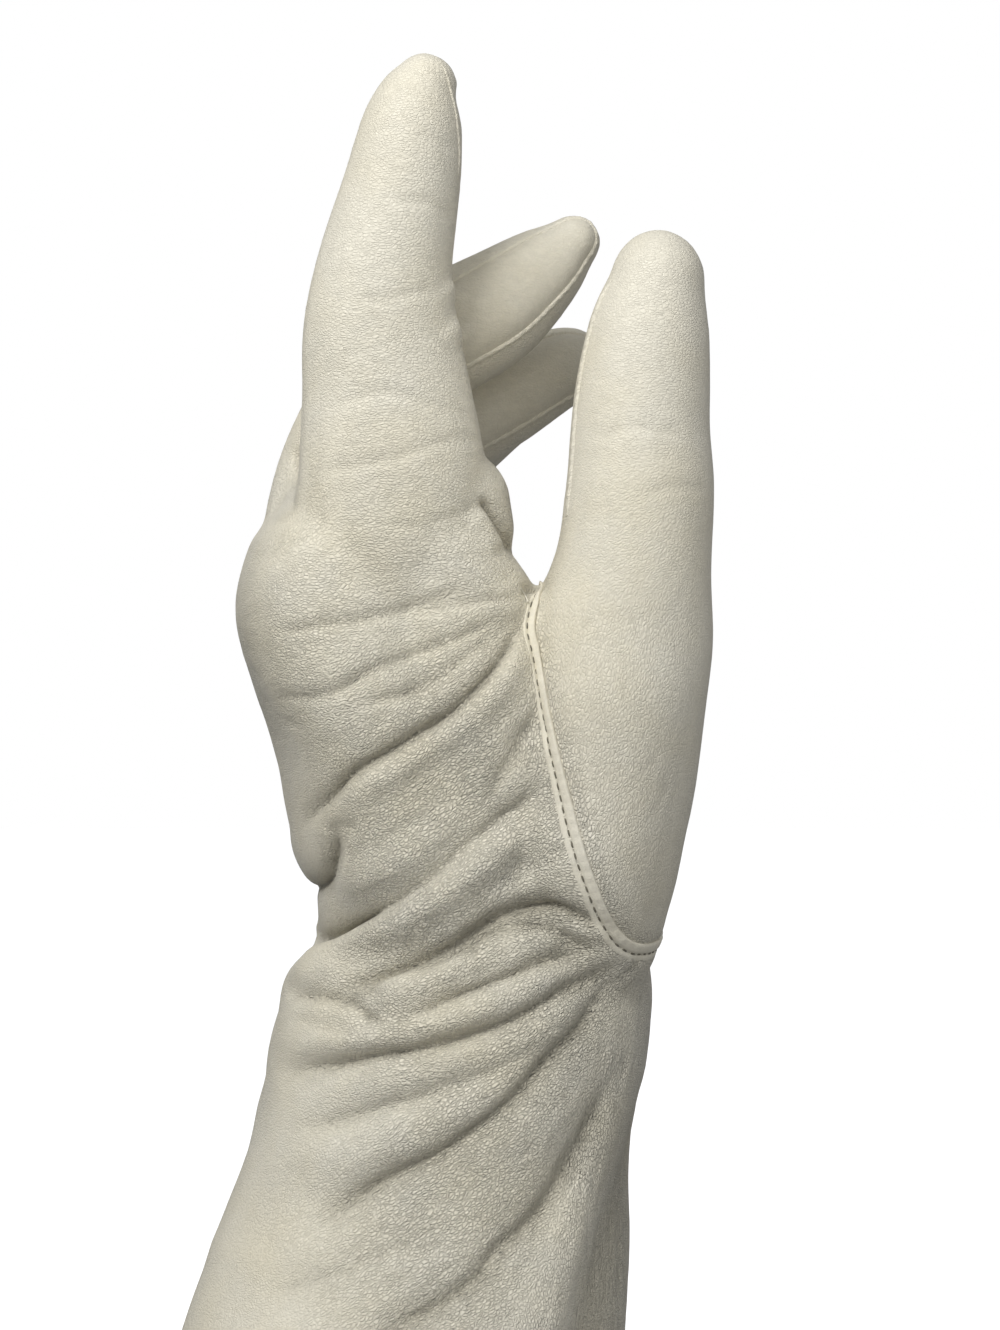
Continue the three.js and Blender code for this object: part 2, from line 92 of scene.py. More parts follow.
LIMB_COLUMNS = "x y z deep wide"
LIMBS = {
    "index": (columns(LIMB_COLUMNS, [
        (-0.4, -8.0, 154.6, 15.1, 11.5),
        (1.9, -11.0, 171.7, 16.2, 11.5),
        (2.8, -12.0, 183.6, 16.2, 11.2),
        (2.3, -12.6, 195.5, 14.7, 10.6),
        (1.3, -13.0, 207.3, 13.4, 10.3),
        (1.9, -13.3, 218.3, 11.7, 9.8),
        (4.9, -13.5, 231.9, 10.2, 9.2),
        (6.7, -13.5, 242.2, 8.6, 8.3),
        (7.9, -13.5, 247.2, 6.9, 6.9),
        (9.3, -13.5, 250.2, 5.1, 5.4),
    ]), (11.2, -13.5, 253.8)),
    "middle": (columns(LIMB_COLUMNS, [
        (-9.6, 8.0, 154.7, 12.4, 11.0),
        (-7.6, 8.5, 176.0, 12.4, 10.6),
        (-3.2, 8.5, 191.6, 11.3, 9.9),
        (4.2, 8.5, 204.0, 10.6, 9.8),
        (13.6, 8.5, 209.5, 10.6, 9.6),
        (21.6, 8.5, 214.3, 9.9, 9.2),
        (30.0, 8.5, 221.0, 7.6, 7.6),
        (34.5, 8.5, 225.0, 5.2, 5.8),
    ]), (38.3, 8.5, 228.8)),
    "ring": (columns(LIMB_COLUMNS, [
        (-8.4, 29.0, 149.4, 11.7, 10.6),
        (-6.8, 29.0, 169.5, 11.7, 10.2),
        (-1.3, 29.0, 184.2, 10.6, 9.6),
        (9.7, 29.0, 192.1, 9.9, 9.4),
        (21.8, 29.0, 199.1, 9.2, 9.0),
        (32.2, 29.0, 204.7, 7.7, 7.8),
    ]), (41.0, 29.0, 207.7)),
    "little": (columns(LIMB_COLUMNS, [
        (-6.0, 46.5, 141.8, 10.6, 9.6),
        (-6.4, 48.0, 162.6, 10.2, 9.2),
        (0.4, 48.5, 177.7, 9.1, 8.6),
        (10.3, 48.5, 188.7, 8.3, 8.3),
        (18.8, 48.0, 195.7, 7.2, 7.8),
        (25.8, 47.5, 200.0, 6.0, 6.8),
    ]), (32.0, 47.0, 202.8)),
    "thumb": (columns(LIMB_COLUMNS, [
        (33.0, 5.0, 86.0, 7.0, 9.0),
        (35.4, 2.0, 98.6, 13.0, 15.0),
        (35.6, 0.0, 109.3, 15.4, 17.5),
        (36.7, -2.0, 119.9, 16.7, 18.5),
        (38.6, -4.0, 132.1, 17.2, 18.0),
        (40.9, -7.0, 146.0, 16.7, 16.5),
        (42.8, -9.0, 158.0, 15.8, 14.5),
        (44.5, -11.0, 168.3, 13.4, 13.0),
        (45.5, -12.0, 180.2, 12.8, 12.2),
        (45.5, -12.0, 190.5, 12.0, 11.8),
        (46.1, -12.0, 199.0, 11.5, 11.2),
        (47.2, -12.0, 208.4, 10.3, 10.2),
        (48.6, -12.0, 215.8, 8.1, 8.6),
    ]), (49.0, -12.0, 224.7)),
    "web": (columns(LIMB_COLUMNS, [
        (18.0, 1.5, 102.0, 13.0, 10.0),
        (17.0, -1.0, 118.0, 19.0, 15.5),
        (17.0, -4.0, 134.0, 19.5, 16.5),
        (16.0, -7.0, 148.0, 17.0, 15.0),
        (13.8, -8.5, 156.0, 15.6, 12.8),
        (12.0, -9.5, 162.5, 14.4, 11.6),
        (10.5, -10.5, 169.0, 11.2, 10.5),
    ]), (10.5, -11.0, 177.5)),
    "root": (columns(LIMB_COLUMNS, [
        (9.0, -6.5, 158.0, 9.5, 9.5),
        (11.5, -6.8, 166.0, 11.0, 10.2),
        (13.0, -7.2, 172.5, 11.0, 10.4),
        (13.4, -7.8, 178.5, 9.9, 9.8),
    ]), (13.2, -8.5, 187.5)),
}

# The forked gussets: the finger on each side and the height that each starts at
GUSSETS = {
    "gusset_index_middle": ("index", "middle", 180.0),
    "gusset_middle_ring": ("middle", "ring", 177.0),
    "gusset_ring_little": ("ring", "little", 168.0),
}

# How wide each is, as a share of its finger's depth: where the finger starts, further up and at its tip
GUSSET_SHARE = (0.66, 0.69, 0.82)

# The thumb's seam, seen from the near side (x, z) and from the palm (y, z)
THUMB_SEAM = [(29.0, 300), (29.0, 165.0), (27.6, 161.4), (26.9, 157.0), (28.0, 151.1), (29.4, 142.7),
              (31.0, 134.3), (33.4, 124.2), (35.9, 116.1), (38.5, 109.3), (41.2, 104.3), (44.2, 101.2),
              (48.5, 100.1), (120, 100.1)]
PALM_SEAM = [(-80, 99.0), (-14, 99.0), (-2, 100.5), (5, 105), (9, 114), (10, 126), (9.5, 142),
             (7, 158), (3.6, 172), (0.9, 192), (0.9, 300)]

# The folds on each side: depth in (raised where negative), half width, and the line it follows
FOLDS = {
    "near": [
        (0.8, 1.3, [(-18, 155.8), (-5.8, 157.3), (4.8, 159.4), (12.1, 162.1), (19, 163.6)]),
        (0.8, 0.9, [(6, 158.4), (16.9, 161.0), (22, 161.6), (26.4, 162.2)]),
        (1.2, 1.2, [(25.2, 162.9), (26.6, 163.3), (27.8, 163.9), (29.2, 164.8)]),
        (1.0, 1.2, [(-18, 144.2), (-14.3, 144.8), (-6.6, 145.6), (0.7, 149.8), (8.8, 152.7), (16.9, 156.0),
            (25.1, 160.2)]),
        (1.0, 1.2, [(-4, 143.8), (2.4, 144.8), (8.8, 146.8), (16.9, 152.7), (24.3, 158.4), (26.2, 160.4)]),
        (2.3, 2.1, [(-14, 120.6), (-11, 124.3), (-7.4, 128.0), (-3.3, 132.0), (4.8, 136.7), (12.9, 142.1),
            (16.9, 145.6), (22.3, 151.4), (25.9, 158.6), (26.8, 161)]),
        (-1.1, 1.9, [(-6, 125.5), (1, 130.2), (8, 134.8), (14.4, 139.2), (20.0, 144.2), (24.6, 151.6),
            (27, 157)]),
        (1.0, 2.4, [(28, 144), (24.8, 136.6), (21, 130), (16.4, 124.4), (11.5, 119.6), (6, 117.2)]),
        (-0.8, 2.4, [(29, 139), (26, 131.5), (21, 125.4)]),
        (2.6, 2.1, [(-25, 109.4), (-14, 110.2), (-10.2, 111.4), (-8.4, 113.4), (-7.6, 116.8), (-6.8, 120.0),
            (-5.8, 123.0)]),
        (0.6, 1.3, [(-8.8, 121.6), (-5.8, 122.7), (-2.4, 122.6)]),
        (-1.2, 3.0, [(-6.5, 109.3), (2, 115.6), (12, 121.4), (22, 128.4)]),
        (2.6, 2.0, [(-30, 99.6), (-15, 101.0), (-8.5, 102.7), (-2.2, 106.1), (3, 109)]),
        (1.7, 2.2, [(-15, 101.0), (-8.5, 102.9), (-2.2, 106.5), (8, 112.6), (16.5, 119.4), (29.5, 131)]),
        (-2.6, 3.2, [(-19, 94.2), (-10, 98.6), (-2.2, 103.0), (9.7, 109.6), (19.9, 117.8), (31.0, 125.3)]),
        (3.4, 2.1, [(-8, 94.6), (4.6, 99.0), (13.1, 102.7), (21.6, 108.0), (28.4, 109.6), (35.5, 107.4),
            (38.3, 104.4)]),
        (1.6, 1.4, [(4, 96.4), (13.1, 100.4), (21.6, 105.0), (28.4, 105.8), (34.2, 103.3), (40, 100.6)]),
        (-1.2, 3.2, [(0, 94), (6, 96.4), (11.5, 98.8), (17.5, 100.8)]),
        (1.5, 1.5, [(-16, 92.4), (-12.1, 93.2), (-7.5, 93.4), (-3.4, 92.5), (0.5, 90.0), (3.5, 89.6)]),
        (0.7, 0.9, [(-15, 89.4), (-13.7, 89.3), (-7.2, 88.3), (-2.4, 89.0), (0.6, 89.9), (3, 90)]),
        (2.0, 1.8, [(0.2, 89.6), (4.7, 90.1), (9.5, 92.2), (14.3, 94.4), (19.1, 96.3), (24, 98),
            (30.4, 100.4), (39, 101.8)]),
        (-1.5, 2.8, [(-18, 83.8), (-7.3, 86.0), (1.4, 87.6), (14.3, 91), (24, 94), (33, 98)]),
        (2.3, 2.6, [(-18, 79.2), (-7.3, 82.3), (0, 84.2), (7.9, 85.6), (14.3, 87.1), (20.8, 89.3),
            (27.2, 92.4), (33, 95.6), (39, 98.2), (44, 99.4)]),
        (-1.2, 3.2, [(-10, 76.5), (8, 81.2), (18, 84.2), (29, 88), (38, 94)]),
        (1.3, 2.4, [(-16, 70.2), (-5.5, 73.3), (0.7, 75.6), (8.9, 78), (19.2, 81.6), (27, 85.8),
            (34, 91)]),
        (-1.0, 3.2, [(-12, 62), (0, 68), (12, 73.8), (22, 80), (31, 88.5)]),
        (2.1, 3.0, [(-12, 54), (-3.7, 60.2), (3.6, 64.6), (11.4, 68.2), (17.1, 72.0), (23.4, 76.8),
            (28.6, 82.2), (34.8, 88.4), (40, 95), (44.2, 99.4)]),
        (-1.7, 4.2, [(46, 94), (44, 84), (42, 74), (40.4, 67), (34.2, 51.9), (28.6, 37.2), (22, 20),
            (17, 4)]),
        (1.7, 6.6, [(50, 86), (47, 70), (41.5, 52), (38, 37), (33.5, 20), (30, 3)]),
        (1.9, 4.0, [(-4, 34), (3.6, 39.4), (11.4, 43.6), (17.1, 47.2), (21.8, 52.4), (29.6, 59.0),
            (34.3, 66.6), (38.5, 74.5), (43, 85)]),
        (0.7, 4.5, [(-20, 44), (-12, 46), (2, 52), (14, 58)]),
        (0.35, 1.0, [(-3.5, 212), (2, 211.8), (11.4, 214.1)]),
        (0.35, 0.9, [(-9, 193.4), (-4.8, 194.5), (2.9, 196.2), (11.4, 193.7), (17.5, 191.6)]),
        (0.4, 0.9, [(-10, 182.4), (-5.6, 183.5), (4.6, 185.2), (11.4, 187.7), (19.9, 188.8)]),
        (0.35, 0.9, [(2, 173.6), (9, 174), (16, 176.4), (22, 177.4)]),
        (0.35, 1.0, [(3, 227.6), (6.3, 228.5), (11.4, 227.7), (14, 225)]),
        (0.25, 0.9, [(7, 240), (11, 239), (14, 236.6)]),
        (2.2, 1.1, [(17.6, 178.6), (18.8, 178.0), (19.9, 176.8), (20.9, 175.2), (21.9, 173.4),
            (23.6, 170.6), (24.6, 168.6)]),
        (-0.9, 1.5, [(16.2, 176.0), (18.2, 174.6), (19.8, 172.0), (21.4, 169.4)]),
        (1.2, 0.9, [(-14.4, 189), (-14.0, 186), (-14.2, 183), (-15.2, 180)]),
        (-0.6, 2.2, [(12.5, 215), (15, 213)]),
        (-0.6, 2.4, [(13, 208), (16, 206)]),
        (0.3, 1.1, [(36, 187.8), (40, 189.4), (45.4, 190.3), (53.9, 188.6)]),
        (0.3, 1.1, [(45, 178.6), (50, 180.2), (57.3, 180.1)]),
    ],
    "far": [
        (2.6, 2.6, [(-26, 113), (-17, 109), (0, 106), (25, 104.5), (47, 109)]),
        (2.6, 2.5, [(-26, 102), (-17, 99.5), (5, 94), (30, 93.5), (51, 98.5)]),
        (-1.8, 3.0, [(-26, 107.4), (-17, 104.4), (3, 100), (28, 99), (49, 104)]),
        (1.9, 2.8, [(-26, 91.5), (-18, 89.5), (5, 84), (30, 82.5), (51, 88.5)]),
        (-1.4, 3.3, [(-26, 96.5), (-18, 94.4), (5, 89), (30, 88), (50, 93.4)]),
        (1.3, 3.3, [(-28, 80.5), (-20, 78), (5, 72.5), (30, 72), (50, 80)]),
        (1.1, 4.4, [(-32, 68), (-22, 64.5), (0, 60), (30, 62), (48, 70)]),
        (-1.0, 4.6, [(-30, 74), (-20, 71), (0, 66), (30, 67), (48, 75)]),
        (1.2, 2.4, [(-22, 124), (-14, 121), (0, 118), (20, 118), (38, 123)]),
        (0.8, 4.5, [(-38, 46), (-10, 40), (20, 44), (46, 52)]),
    ],
}

# The skin is cut here, and the turned-in hem goes on from the cut
HEM_CUT = 1.2
SEAM_REACH = 0.4

# How far a panel's cut edges turn in, and the fewest points of a border that gets a rib
LIP = 1.2
SHORTEST_BORDER = 40

# The hem's section from the cut round the edge and up inside: height and distance in from the skin
HEM = [(0.6, 0.0), (0.15, 0.12), (-0.12, 0.45), (-0.22, 0.9), (-0.12, 1.4), (0.2, 1.75), (0.9, 1.95),
       (3, 2.05), (6, 2.15), (10, 2.2), (13, 2.15), (13.5, 1.95), (13.6, 1.5)]

# The hem's row of stitches: its height, and its pitch as a share of the welt's
HEM_STITCHES = 11.5
HEM_PITCH = 1.15

# How deep the stitches sink into the leather, as a share of the thread's radius
WELT_SINK = 0.1
HEM_SINK = 0.3

# Where the outer seam leaves the cuff for the little finger, and the row of that finger that it meets
OUTER_SEAM_TURN = 118
LITTLE_FROM = 0.4

# The thumb's inner seam: the row it starts at, a place before it, and how far it lies from the middle
THUMB_FROM = 7.6
BESIDE_THUMB = 25
THUMB_SHIFT = 3.5

# Where the rib at the index fingertip runs, and the loose end of thread beside the crotch (x, z)
INDEX_TIP_SEAM = [(11.2, 252.8), (12.6, 250), (13.6, 246.5), (14.3, 242), (14.7, 237.5), (14.5, 233)]
THREAD_END = [(26.4, 161.0), (25.9, 162.2), (25.2, 163.4)]

# How far the thread's end stands off the leather, how far apart its sections are, and its radii
THREAD_LIFT = (0.3, 0.6, 0.9)
THREAD_STEP = 0.2
THREAD_RADII = (0.2, 0.09)

# The knitted inside: where it starts, and how far it lies inside the skin
KNIT_CUT = 12.0
KNIT_INSET = 1.9

# The size of a cell and the rounds of easing, for the skin and for the knitted inside
SKIN_GRAIN = (0.88, 18)
KNIT_GRAIN = (1.9, 8)


# How much of a fold's depth the leather is drawn into its valley, at most there, and at most in all
DRAWN = (0.22, 0.55, 1.4)

# The dent along a seam: depth and half width
THUMB_DENT = (0.35, 1.7)
GUSSET_DENT = (0.3, 1.2)

# How deep the slow swellings are, at least and for the gathering, and the quick ones
SWELLINGS = (0.3, 0.5, 0.22)


# What the leather's finish reads at each point: how deep in a crease, which way the leather gathers
# and how strongly, and what a plain piece has of each
NOTES = ("crease", "turn", "gather")
PLAIN_NOTES = (0.5, 30.0, 0.1)


# Curves, distances and blends

def along(table, name, place):
    """One column of a table at places between its rows, by a Catmull-Rom curve."""
    values = table[name]
    last = len(values) - 1
    i = np.clip(np.floor(place).astype(int), 0, last - 1)
    t = place - i
    a, b, c, d = (values[np.clip(i + k, 0, last)] for k in (-1, 0, 1, 2))
    return b + 0.5 * t * (c - a + (2 * a - 5 * b + 4 * c - d) * t + (3 * b - a - 3 * c + d) * t * t)


def smoothstep(value, low, high):
    t = np.clip((value - low) / (high - low), 0, 1)
    return t * t * (3 - 2 * t)


def smooth_line(points, steps=6):
    """A curve through points, with a few straight pieces between each two."""
    table = columns("a b", points)
    place = np.linspace(0, len(points) - 1, (len(points) - 1) * steps + 1)
    return np.stack([along(table, "a", place), along(table, "b", place)], axis=1)


def line_distance(points, line):
    """Signed distance of flat points to a line, the share of it passed there and the way from it."""
    lengths = np.linalg.norm(np.diff(line, axis=0), axis=1)
    passed = np.concatenate([[0], np.cumsum(lengths)])
    best = np.full(len(points), 1e9)
    signed, share, away = np.zeros(len(points)), np.zeros(len(points)), np.zeros((len(points), 2))
    for i, (a, b) in enumerate(zip(line[:-1], line[1:])):
        way = b - a
        off = points - a
        t = np.clip(off @ way / (way @ way), 0, 1)
        rest = off - t[:, None] * way
        distance = np.hypot(rest[:, 0], rest[:, 1])
        side = np.sign(way[0] * off[:, 1] - way[1] * off[:, 0])
        closer = distance < best
        best[closer] = distance[closer]
        signed[closer] = (side * distance)[closer]
        share[closer] = (passed[i] + t * lengths[i])[closer] / passed[-1]
        away[closer] = rest[closer]
    return signed, share, away


def smooth_min(a, b, reach):
    h = np.clip(0.5 + 0.5 * (b - a) / reach, 0, 1)
    return b * (1 - h) + a * h - reach * h * (1 - h)


def unit(vectors):
    return vectors / np.maximum(np.linalg.norm(vectors, axis=-1, keepdims=True), 1e-12)


# The skins that the form is joined from

def ring_faces(rings, around):
    faces = []
    for i in range(rings - 1):
        low, high = i * around, (i + 1) * around
        for j in range(around):
            k = (j + 1) % around
            faces.append((low + j, low + k, high + k, high + j))
    faces.append(tuple(reversed(range(around))))
    faces.append(tuple(range((rings - 1) * around, rings * around)))
    return faces


def limb_skin(table, tip, inset, around=48, steps=60, tip_rings=10):
    """A finger, thumb or pad: rings along its rows, then a rounded tip."""
    last = len(table["x"]) - 1
    place = np.linspace(0, last, steps + 1)
    centre = np.stack([along(table, name, place) for name in "xyz"], axis=1)
    tangent = unit(np.gradient(centre, axis=0))
    deep, wide = along(table, "deep", place), along(table, "wide", place)
    angle = np.linspace(0, 2 * math.pi, around, endpoint=False)
    rings = []

    def ring(middle, ahead, size, tilt, reach):
        across = unit(np.array([0, 1, 0]) - ahead * ahead[1])
        forward = np.cross(across, ahead)
        c, s = np.cos(angle)[:, None] * math.cos(tilt), np.sin(angle)[:, None] * math.cos(tilt)
        outward = unit(forward * c / size[0] + across * s / size[1] + ahead * math.sin(tilt) / reach)
        point = middle + forward * size[0] * c + across * size[1] * s + ahead * reach * math.sin(tilt)
        rings.append(point - outward * inset)

    for i in range(steps + 1):
        ring(centre[i], tangent[i], (deep[i], wide[i]), 0, 1)
    to_tip = np.array(tip) - centre[-1]
    reach = float(np.linalg.norm(to_tip))
    for i in range(1, tip_rings + 1):
        tilt = 0.5 * math.pi * i / (tip_rings + 0.5)
        ring(centre[-1], to_tip / reach, (deep[-1], wide[-1]), tilt, reach)
    return np.concatenate(rings), ring_faces(len(rings), around)


def body_ring(z, inset, angle, tilt=0.0):
    """Points of the cuff and palm at a height, one for each angle round it."""
    place = np.interp(z, BODY["z"], np.arange(len(BODY["z"])))
    back, palm, near, far, square = (along(BODY, n, place) for n in ("back", "palm", "near", "far", "square"))
    half_x, half_y = (palm - back) / 2, (far - near) / 2
    rise, level, height = math.sin(tilt), math.cos(tilt), TOP_OF_PALM - BODY["z"][-1]
    c, s = np.cos(angle), np.sin(angle)
    x = (palm + back) / 2 + half_x * np.sign(c) * np.abs(c) ** (2 / square) * level
    y = (far + near) / 2 + half_y * np.sign(s) * np.abs(s) ** (2 / square) * level
    outward = np.stack([c * level / half_x, s * level / half_y, np.full_like(c, rise / height)], axis=1)
    return np.stack([x, y, np.full_like(c, z + height * rise)], axis=1) - unit(outward) * inset


def body_skin(inset, around=128, steps=150, dome_rings=8):
    angle = np.linspace(0, 2 * math.pi, around, endpoint=False)
    heights = np.linspace(BODY["z"][0], BODY["z"][-1], steps + 1)
    rings = [body_ring(z, inset, angle) for z in heights]
    for i in range(1, dome_rings + 1):
        rings.append(body_ring(heights[-1], inset, angle, 0.5 * math.pi * i / (dome_rings + 0.5)))
    return np.concatenate(rings), ring_faces(len(rings), around)


def new_mesh(name, points, faces):
    mesh = bpy.data.meshes.new(name)
    mesh.from_pydata((np.asarray(points) * MM).tolist(), [], faces)
    mesh.validate()
    return mesh


def new_object(name, data):
    piece = bpy.data.objects.new(name, data)
    bpy.context.scene.collection.objects.link(piece)
    return piece


def points_and_normals(mesh):
    """A mesh's points in millimetres, and its normals."""
    both = []
    for note in ("co", "normal"):
        values = np.empty(len(mesh.vertices) * 3)
        mesh.vertices.foreach_get(note, values)
        both.append(values.reshape(-1, 3))
    return both[0] / MM, both[1]


def cut_off_below(form, height):
    everything = form.verts[:] + form.edges[:] + form.faces[:]
    bmesh.ops.bisect_plane(form, geom=everything, plane_co=(0, 0, height * MM), plane_no=(0, 0, 1),
                           clear_inner=True)


def merged(parts):
    """Pairs of points and faces as one pair."""
    points, faces, count = [], [], 0
    for part_points, part_faces in parts:
        points.append(part_points)
        faces += [tuple(i + count for i in face) for face in part_faces]
        count += len(part_points)
    return np.concatenate(points), faces


def joined_form(inset, voxel, easing):
    """All the skins joined into one, with the hollows between them eased."""
    skins = [body_skin(inset)] + [limb_skin(table, tip, inset) for table, tip in LIMBS.values()]
    form = new_object("form", new_mesh("form", *merged(skins)))
    remesh = form.modifiers.new("join", "REMESH")
    remesh.mode = "VOXEL"
    remesh.voxel_size = voxel * MM
    ease = form.modifiers.new("ease", "SMOOTH")
    ease.factor = 0.5
    ease.iterations = easing
    seen = form.evaluated_get(bpy.context.evaluated_depsgraph_get())
    mesh = bpy.data.meshes.new_from_object(seen)
    bpy.data.objects.remove(form)
    return mesh


# The folds, wrinkles and seams

def share_near(normals):
    """How far each point faces the near side, from 0 to 1."""
    return smoothstep(-normals[:, 1], -0.3, 0.3)


def fold_depth(points, normals):
    """How far the folds press the leather in, and how they draw it sideways into their valleys."""
    near = share_near(normals)
    draw, most_here, most = DRAWN
    depth, drawn = np.zeros(len(points)), np.zeros((len(points), 3))
    flat = points[:, [0, 2]]
    for side, share_here in (("near", near), ("far", 1 - near)):
        for deep, width, line in FOLDS[side]:
            curve = smooth_line(line)
            low, high = curve.min(axis=0) - 3 * width, curve.max(axis=0) + 3 * width
            close = (share_here > 0.01) & np.all((flat > low) & (flat < high), axis=1)
            if not close.any():
                continue
            distance, share, away = line_distance(flat[close], curve)
            u = distance / width
            profile = np.exp(-u * u)
            taper = smoothstep(share, -0.02, 0.22) * smoothstep(1 - share, -0.02, 0.22) * share_here[close]
            if deep > 0 and width < 6:
                pull = min(draw * deep, most_here) * np.exp(-0.6 * u * u) * taper
                drawn[close, 0] -= pull * away[:, 0]
                drawn[close, 2] -= pull * away[:, 1]
                profile = 0.6 * profile + 0.4 * np.exp(-np.abs(u) * 3.2)
            depth[close] += deep * taper * profile
    drawn -= normals * np.sum(drawn * normals, axis=1)[:, None]
    size = np.linalg.norm(drawn, axis=1)[:, None]
    return depth, drawn / np.maximum(1, size / most)


# How strongly the leather is gathered at each height
GATHER = ([0, 40, 75, 95, 125, 145, 165, 185, 255], [0.45, 0.6, 0.8, 1.0, 0.95, 0.7, 0.42, 0.22, 0.12])

# The way the leather gathers where no fold shows it: x, z and degrees from level
FLOW = [(0, 15, 36), (30, 15, 44), (-30, 20, 30), (0, 45, 34), (36, 55, 58), (-10, 165, 2), (12, 172, 0),
        (5, 205, 2), (5, 225, 2), (8, 245, 4), (-15, 140, 14), (-20, 160, 8), (40, 85, 62)]

# The same on the thumb: heights and degrees
THUMB_FLOW = ([98, 106, 120, 150, 172, 186, 222], [150, 96, 68, 76, 40, 12, 6])


def flow_turn(points, normals):
    """The way the leather gathers at each point, in degrees from level."""
    near = share_near(normals)
    turns = []
    for side in ("near", "far"):
        places, ways = [np.array(FLOW, float)[:, :2]], [np.radians(np.array(FLOW, float)[:, 2])]
        for _, _, line in FOLDS[side]:
            curve = smooth_line(line)
            step = np.diff(curve, axis=0)
            places.append((curve[1:] + curve[:-1]) / 2)
            ways.append(np.arctan2(step[:, 1], step[:, 0]))
        places, ways = np.concatenate(places), np.concatenate(ways)
        low_x, low_z, cell = -60, -20, 2.0
        xs, zs = np.arange(low_x, 71, cell), np.arange(low_z, 262, cell)
        grid = np.stack(np.meshgrid(xs, zs, indexing="ij"), axis=-1).reshape(-1, 2)
        weight = 1 / (((grid[:, None] - places[None]) ** 2).sum(axis=2) + 9) ** 1.5
        turn = 0.5 * np.arctan2(weight @ np.sin(2 * ways), weight @ np.cos(2 * ways))
        turn = np.degrees(turn).reshape(len(xs), len(zs))
        i = np.clip((points[:, 0] - low_x) / cell, 0, len(xs) - 1.01)
        j = np.clip((points[:, 2] - low_z) / cell, 0, len(zs) - 1.01)
        a, b = i.astype(int), j.astype(int)
        s, t = i - a, j - b
        turns.append((turn[a, b] * (1 - s) + turn[a + 1, b] * s) * (1 - t)
                     + (turn[a, b + 1] * (1 - s) + turn[a + 1, b + 1] * s) * t)
    hand = np.radians(turns[0] * near + turns[1] * (1 - near))
    thumb = np.radians(np.interp(points[:, 2], *THUMB_FLOW))
    share = smoothstep(thumb_field(points), -1, 3)
    return np.degrees(0.5 * np.arctan2((1 - share) * np.sin(2 * hand) + share * np.sin(2 * thumb),
                                       (1 - share) * np.cos(2 * hand) + share * np.cos(2 * thumb)))


def gather_amount(points):
    """How strongly the leather is gathered: most at the wrist, least on the thumb and fingertips."""
    thumb = smoothstep(thumb_field(points), 0, 5)
    across = 0.3 + 0.7 * smoothstep(points[:, 0], -14, 12)
    wrist = smoothstep(-points[:, 2], -150, -125)
    return np.interp(points[:, 2], *GATHER) * (1 - 0.72 * thumb) * (1 - wrist * (1 - across))


# The crinkles: how many are tried, and how often one stays where nothing gathers. Length and width,
# in millimetres, have the least, the most and how much more where the leather gathers, and depth has
# the least and how much more. A crinkle shorter than the full length is shallower.
CRINKLES = 5200
CRINKLE_SEED = 11
CRINKLE_SHARE = 0.25
CRINKLE_LENGTH = (3.5, 7.0, 9.0)
CRINKLE_WIDTH = (0.55, 0.8, 0.45)
CRINKLE_DEPTH = (0.03, 0.17)
CRINKLE_FULL_LENGTH = 8
CRINKLE_BEND = 0.02
CRINKLE_TILT = 0.16


def crinkle_depth(points, normals, turn, gather):
    """Short shallow creases that lie along the way the leather gathers."""
    random = np.random.default_rng(CRINKLE_SEED)
    nearby = KDTree(len(points))
    for i, point in enumerate(points):
        nearby.insert(point, i)
    nearby.balance()
    way = np.stack([np.cos(np.radians(turn)), np.zeros(len(turn)), np.sin(np.radians(turn))], axis=1)
    depth = np.zeros(len(points))
    for i in random.integers(0, len(points), CRINKLES):
        amount = gather[i]
        if random.random() > CRINKLE_SHARE + amount:
            continue
        least, most, more = CRINKLE_LENGTH
        length = random.uniform(least, most) + more * amount * random.random() ** 2
        least, most, more = CRINKLE_WIDTH
        width = random.uniform(least, most) + more * amount * random.random()
        least, more = CRINKLE_DEPTH
        deep = (least + more * amount * random.random() ** 1.7) * min(1.0, length / CRINKLE_FULL_LENGTH)
        bend = random.uniform(-CRINKLE_BEND, CRINKLE_BEND)
        tilt = random.uniform(-CRINKLE_TILT, CRINKLE_TILT)
        n = normals[i]
        d = way[i] - n * (way[i] @ n)
        d /= max(np.linalg.norm(d), 1e-6)
        across = np.cross(n, d)
        d, across = d * math.cos(tilt) + across * math.sin(tilt), across * math.cos(tilt) - d * math.sin(tilt)
        found = nearby.find_range(points[i], length / 2 + 1)
        which = np.array([hit[1] for hit in found])
        off = points[which] - points[i]
        u, v = off @ d, off @ across
        v = (v + bend * u * u) / width
        reach = np.clip(1 - (2 * u / length) ** 2, 0, 1)
        facing = np.clip(normals[which] @ n, 0, 1)
        profile = np.exp(-v * v) - 0.45 * np.exp(-(np.abs(v) - 2.0) ** 2)
        depth[which] += deep * profile * reach * facing
    return depth


def wrinkle_depth(points, gather):
    """Slow uneven swellings of soft leather."""
    least, gathered, quickest = SWELLINGS
    result = np.zeros(len(points))
    for i, (a, b, c) in enumerate(points):
        slow = noise.noise((a / 24 + 9, b / 20, c / 17))
        quick = noise.noise((a / 9, b / 8 + 5, c / 6))
        result[i] = -(least + gathered * gather[i]) * slow - quickest * gather[i] * quick
    return result


def thumb_field(points):
    """Distance to the thumb's seam, positive on the thumb's side."""
    side, _, _ = line_distance(points[:, [0, 2]], np.array(THUMB_SEAM, float))
    line = PALM_SEAM[1:-1]
    palm, _, _ = line_distance(points[:, [1, 2]], smooth_line(line))
    sideways, upward = zip(*line)
    reach = np.interp(points[:, 2], upward, sideways)
    palm = np.where(points[:, 2] > upward[-1], reach - points[:, 1], palm)
    return smooth_min(side, palm, 5)


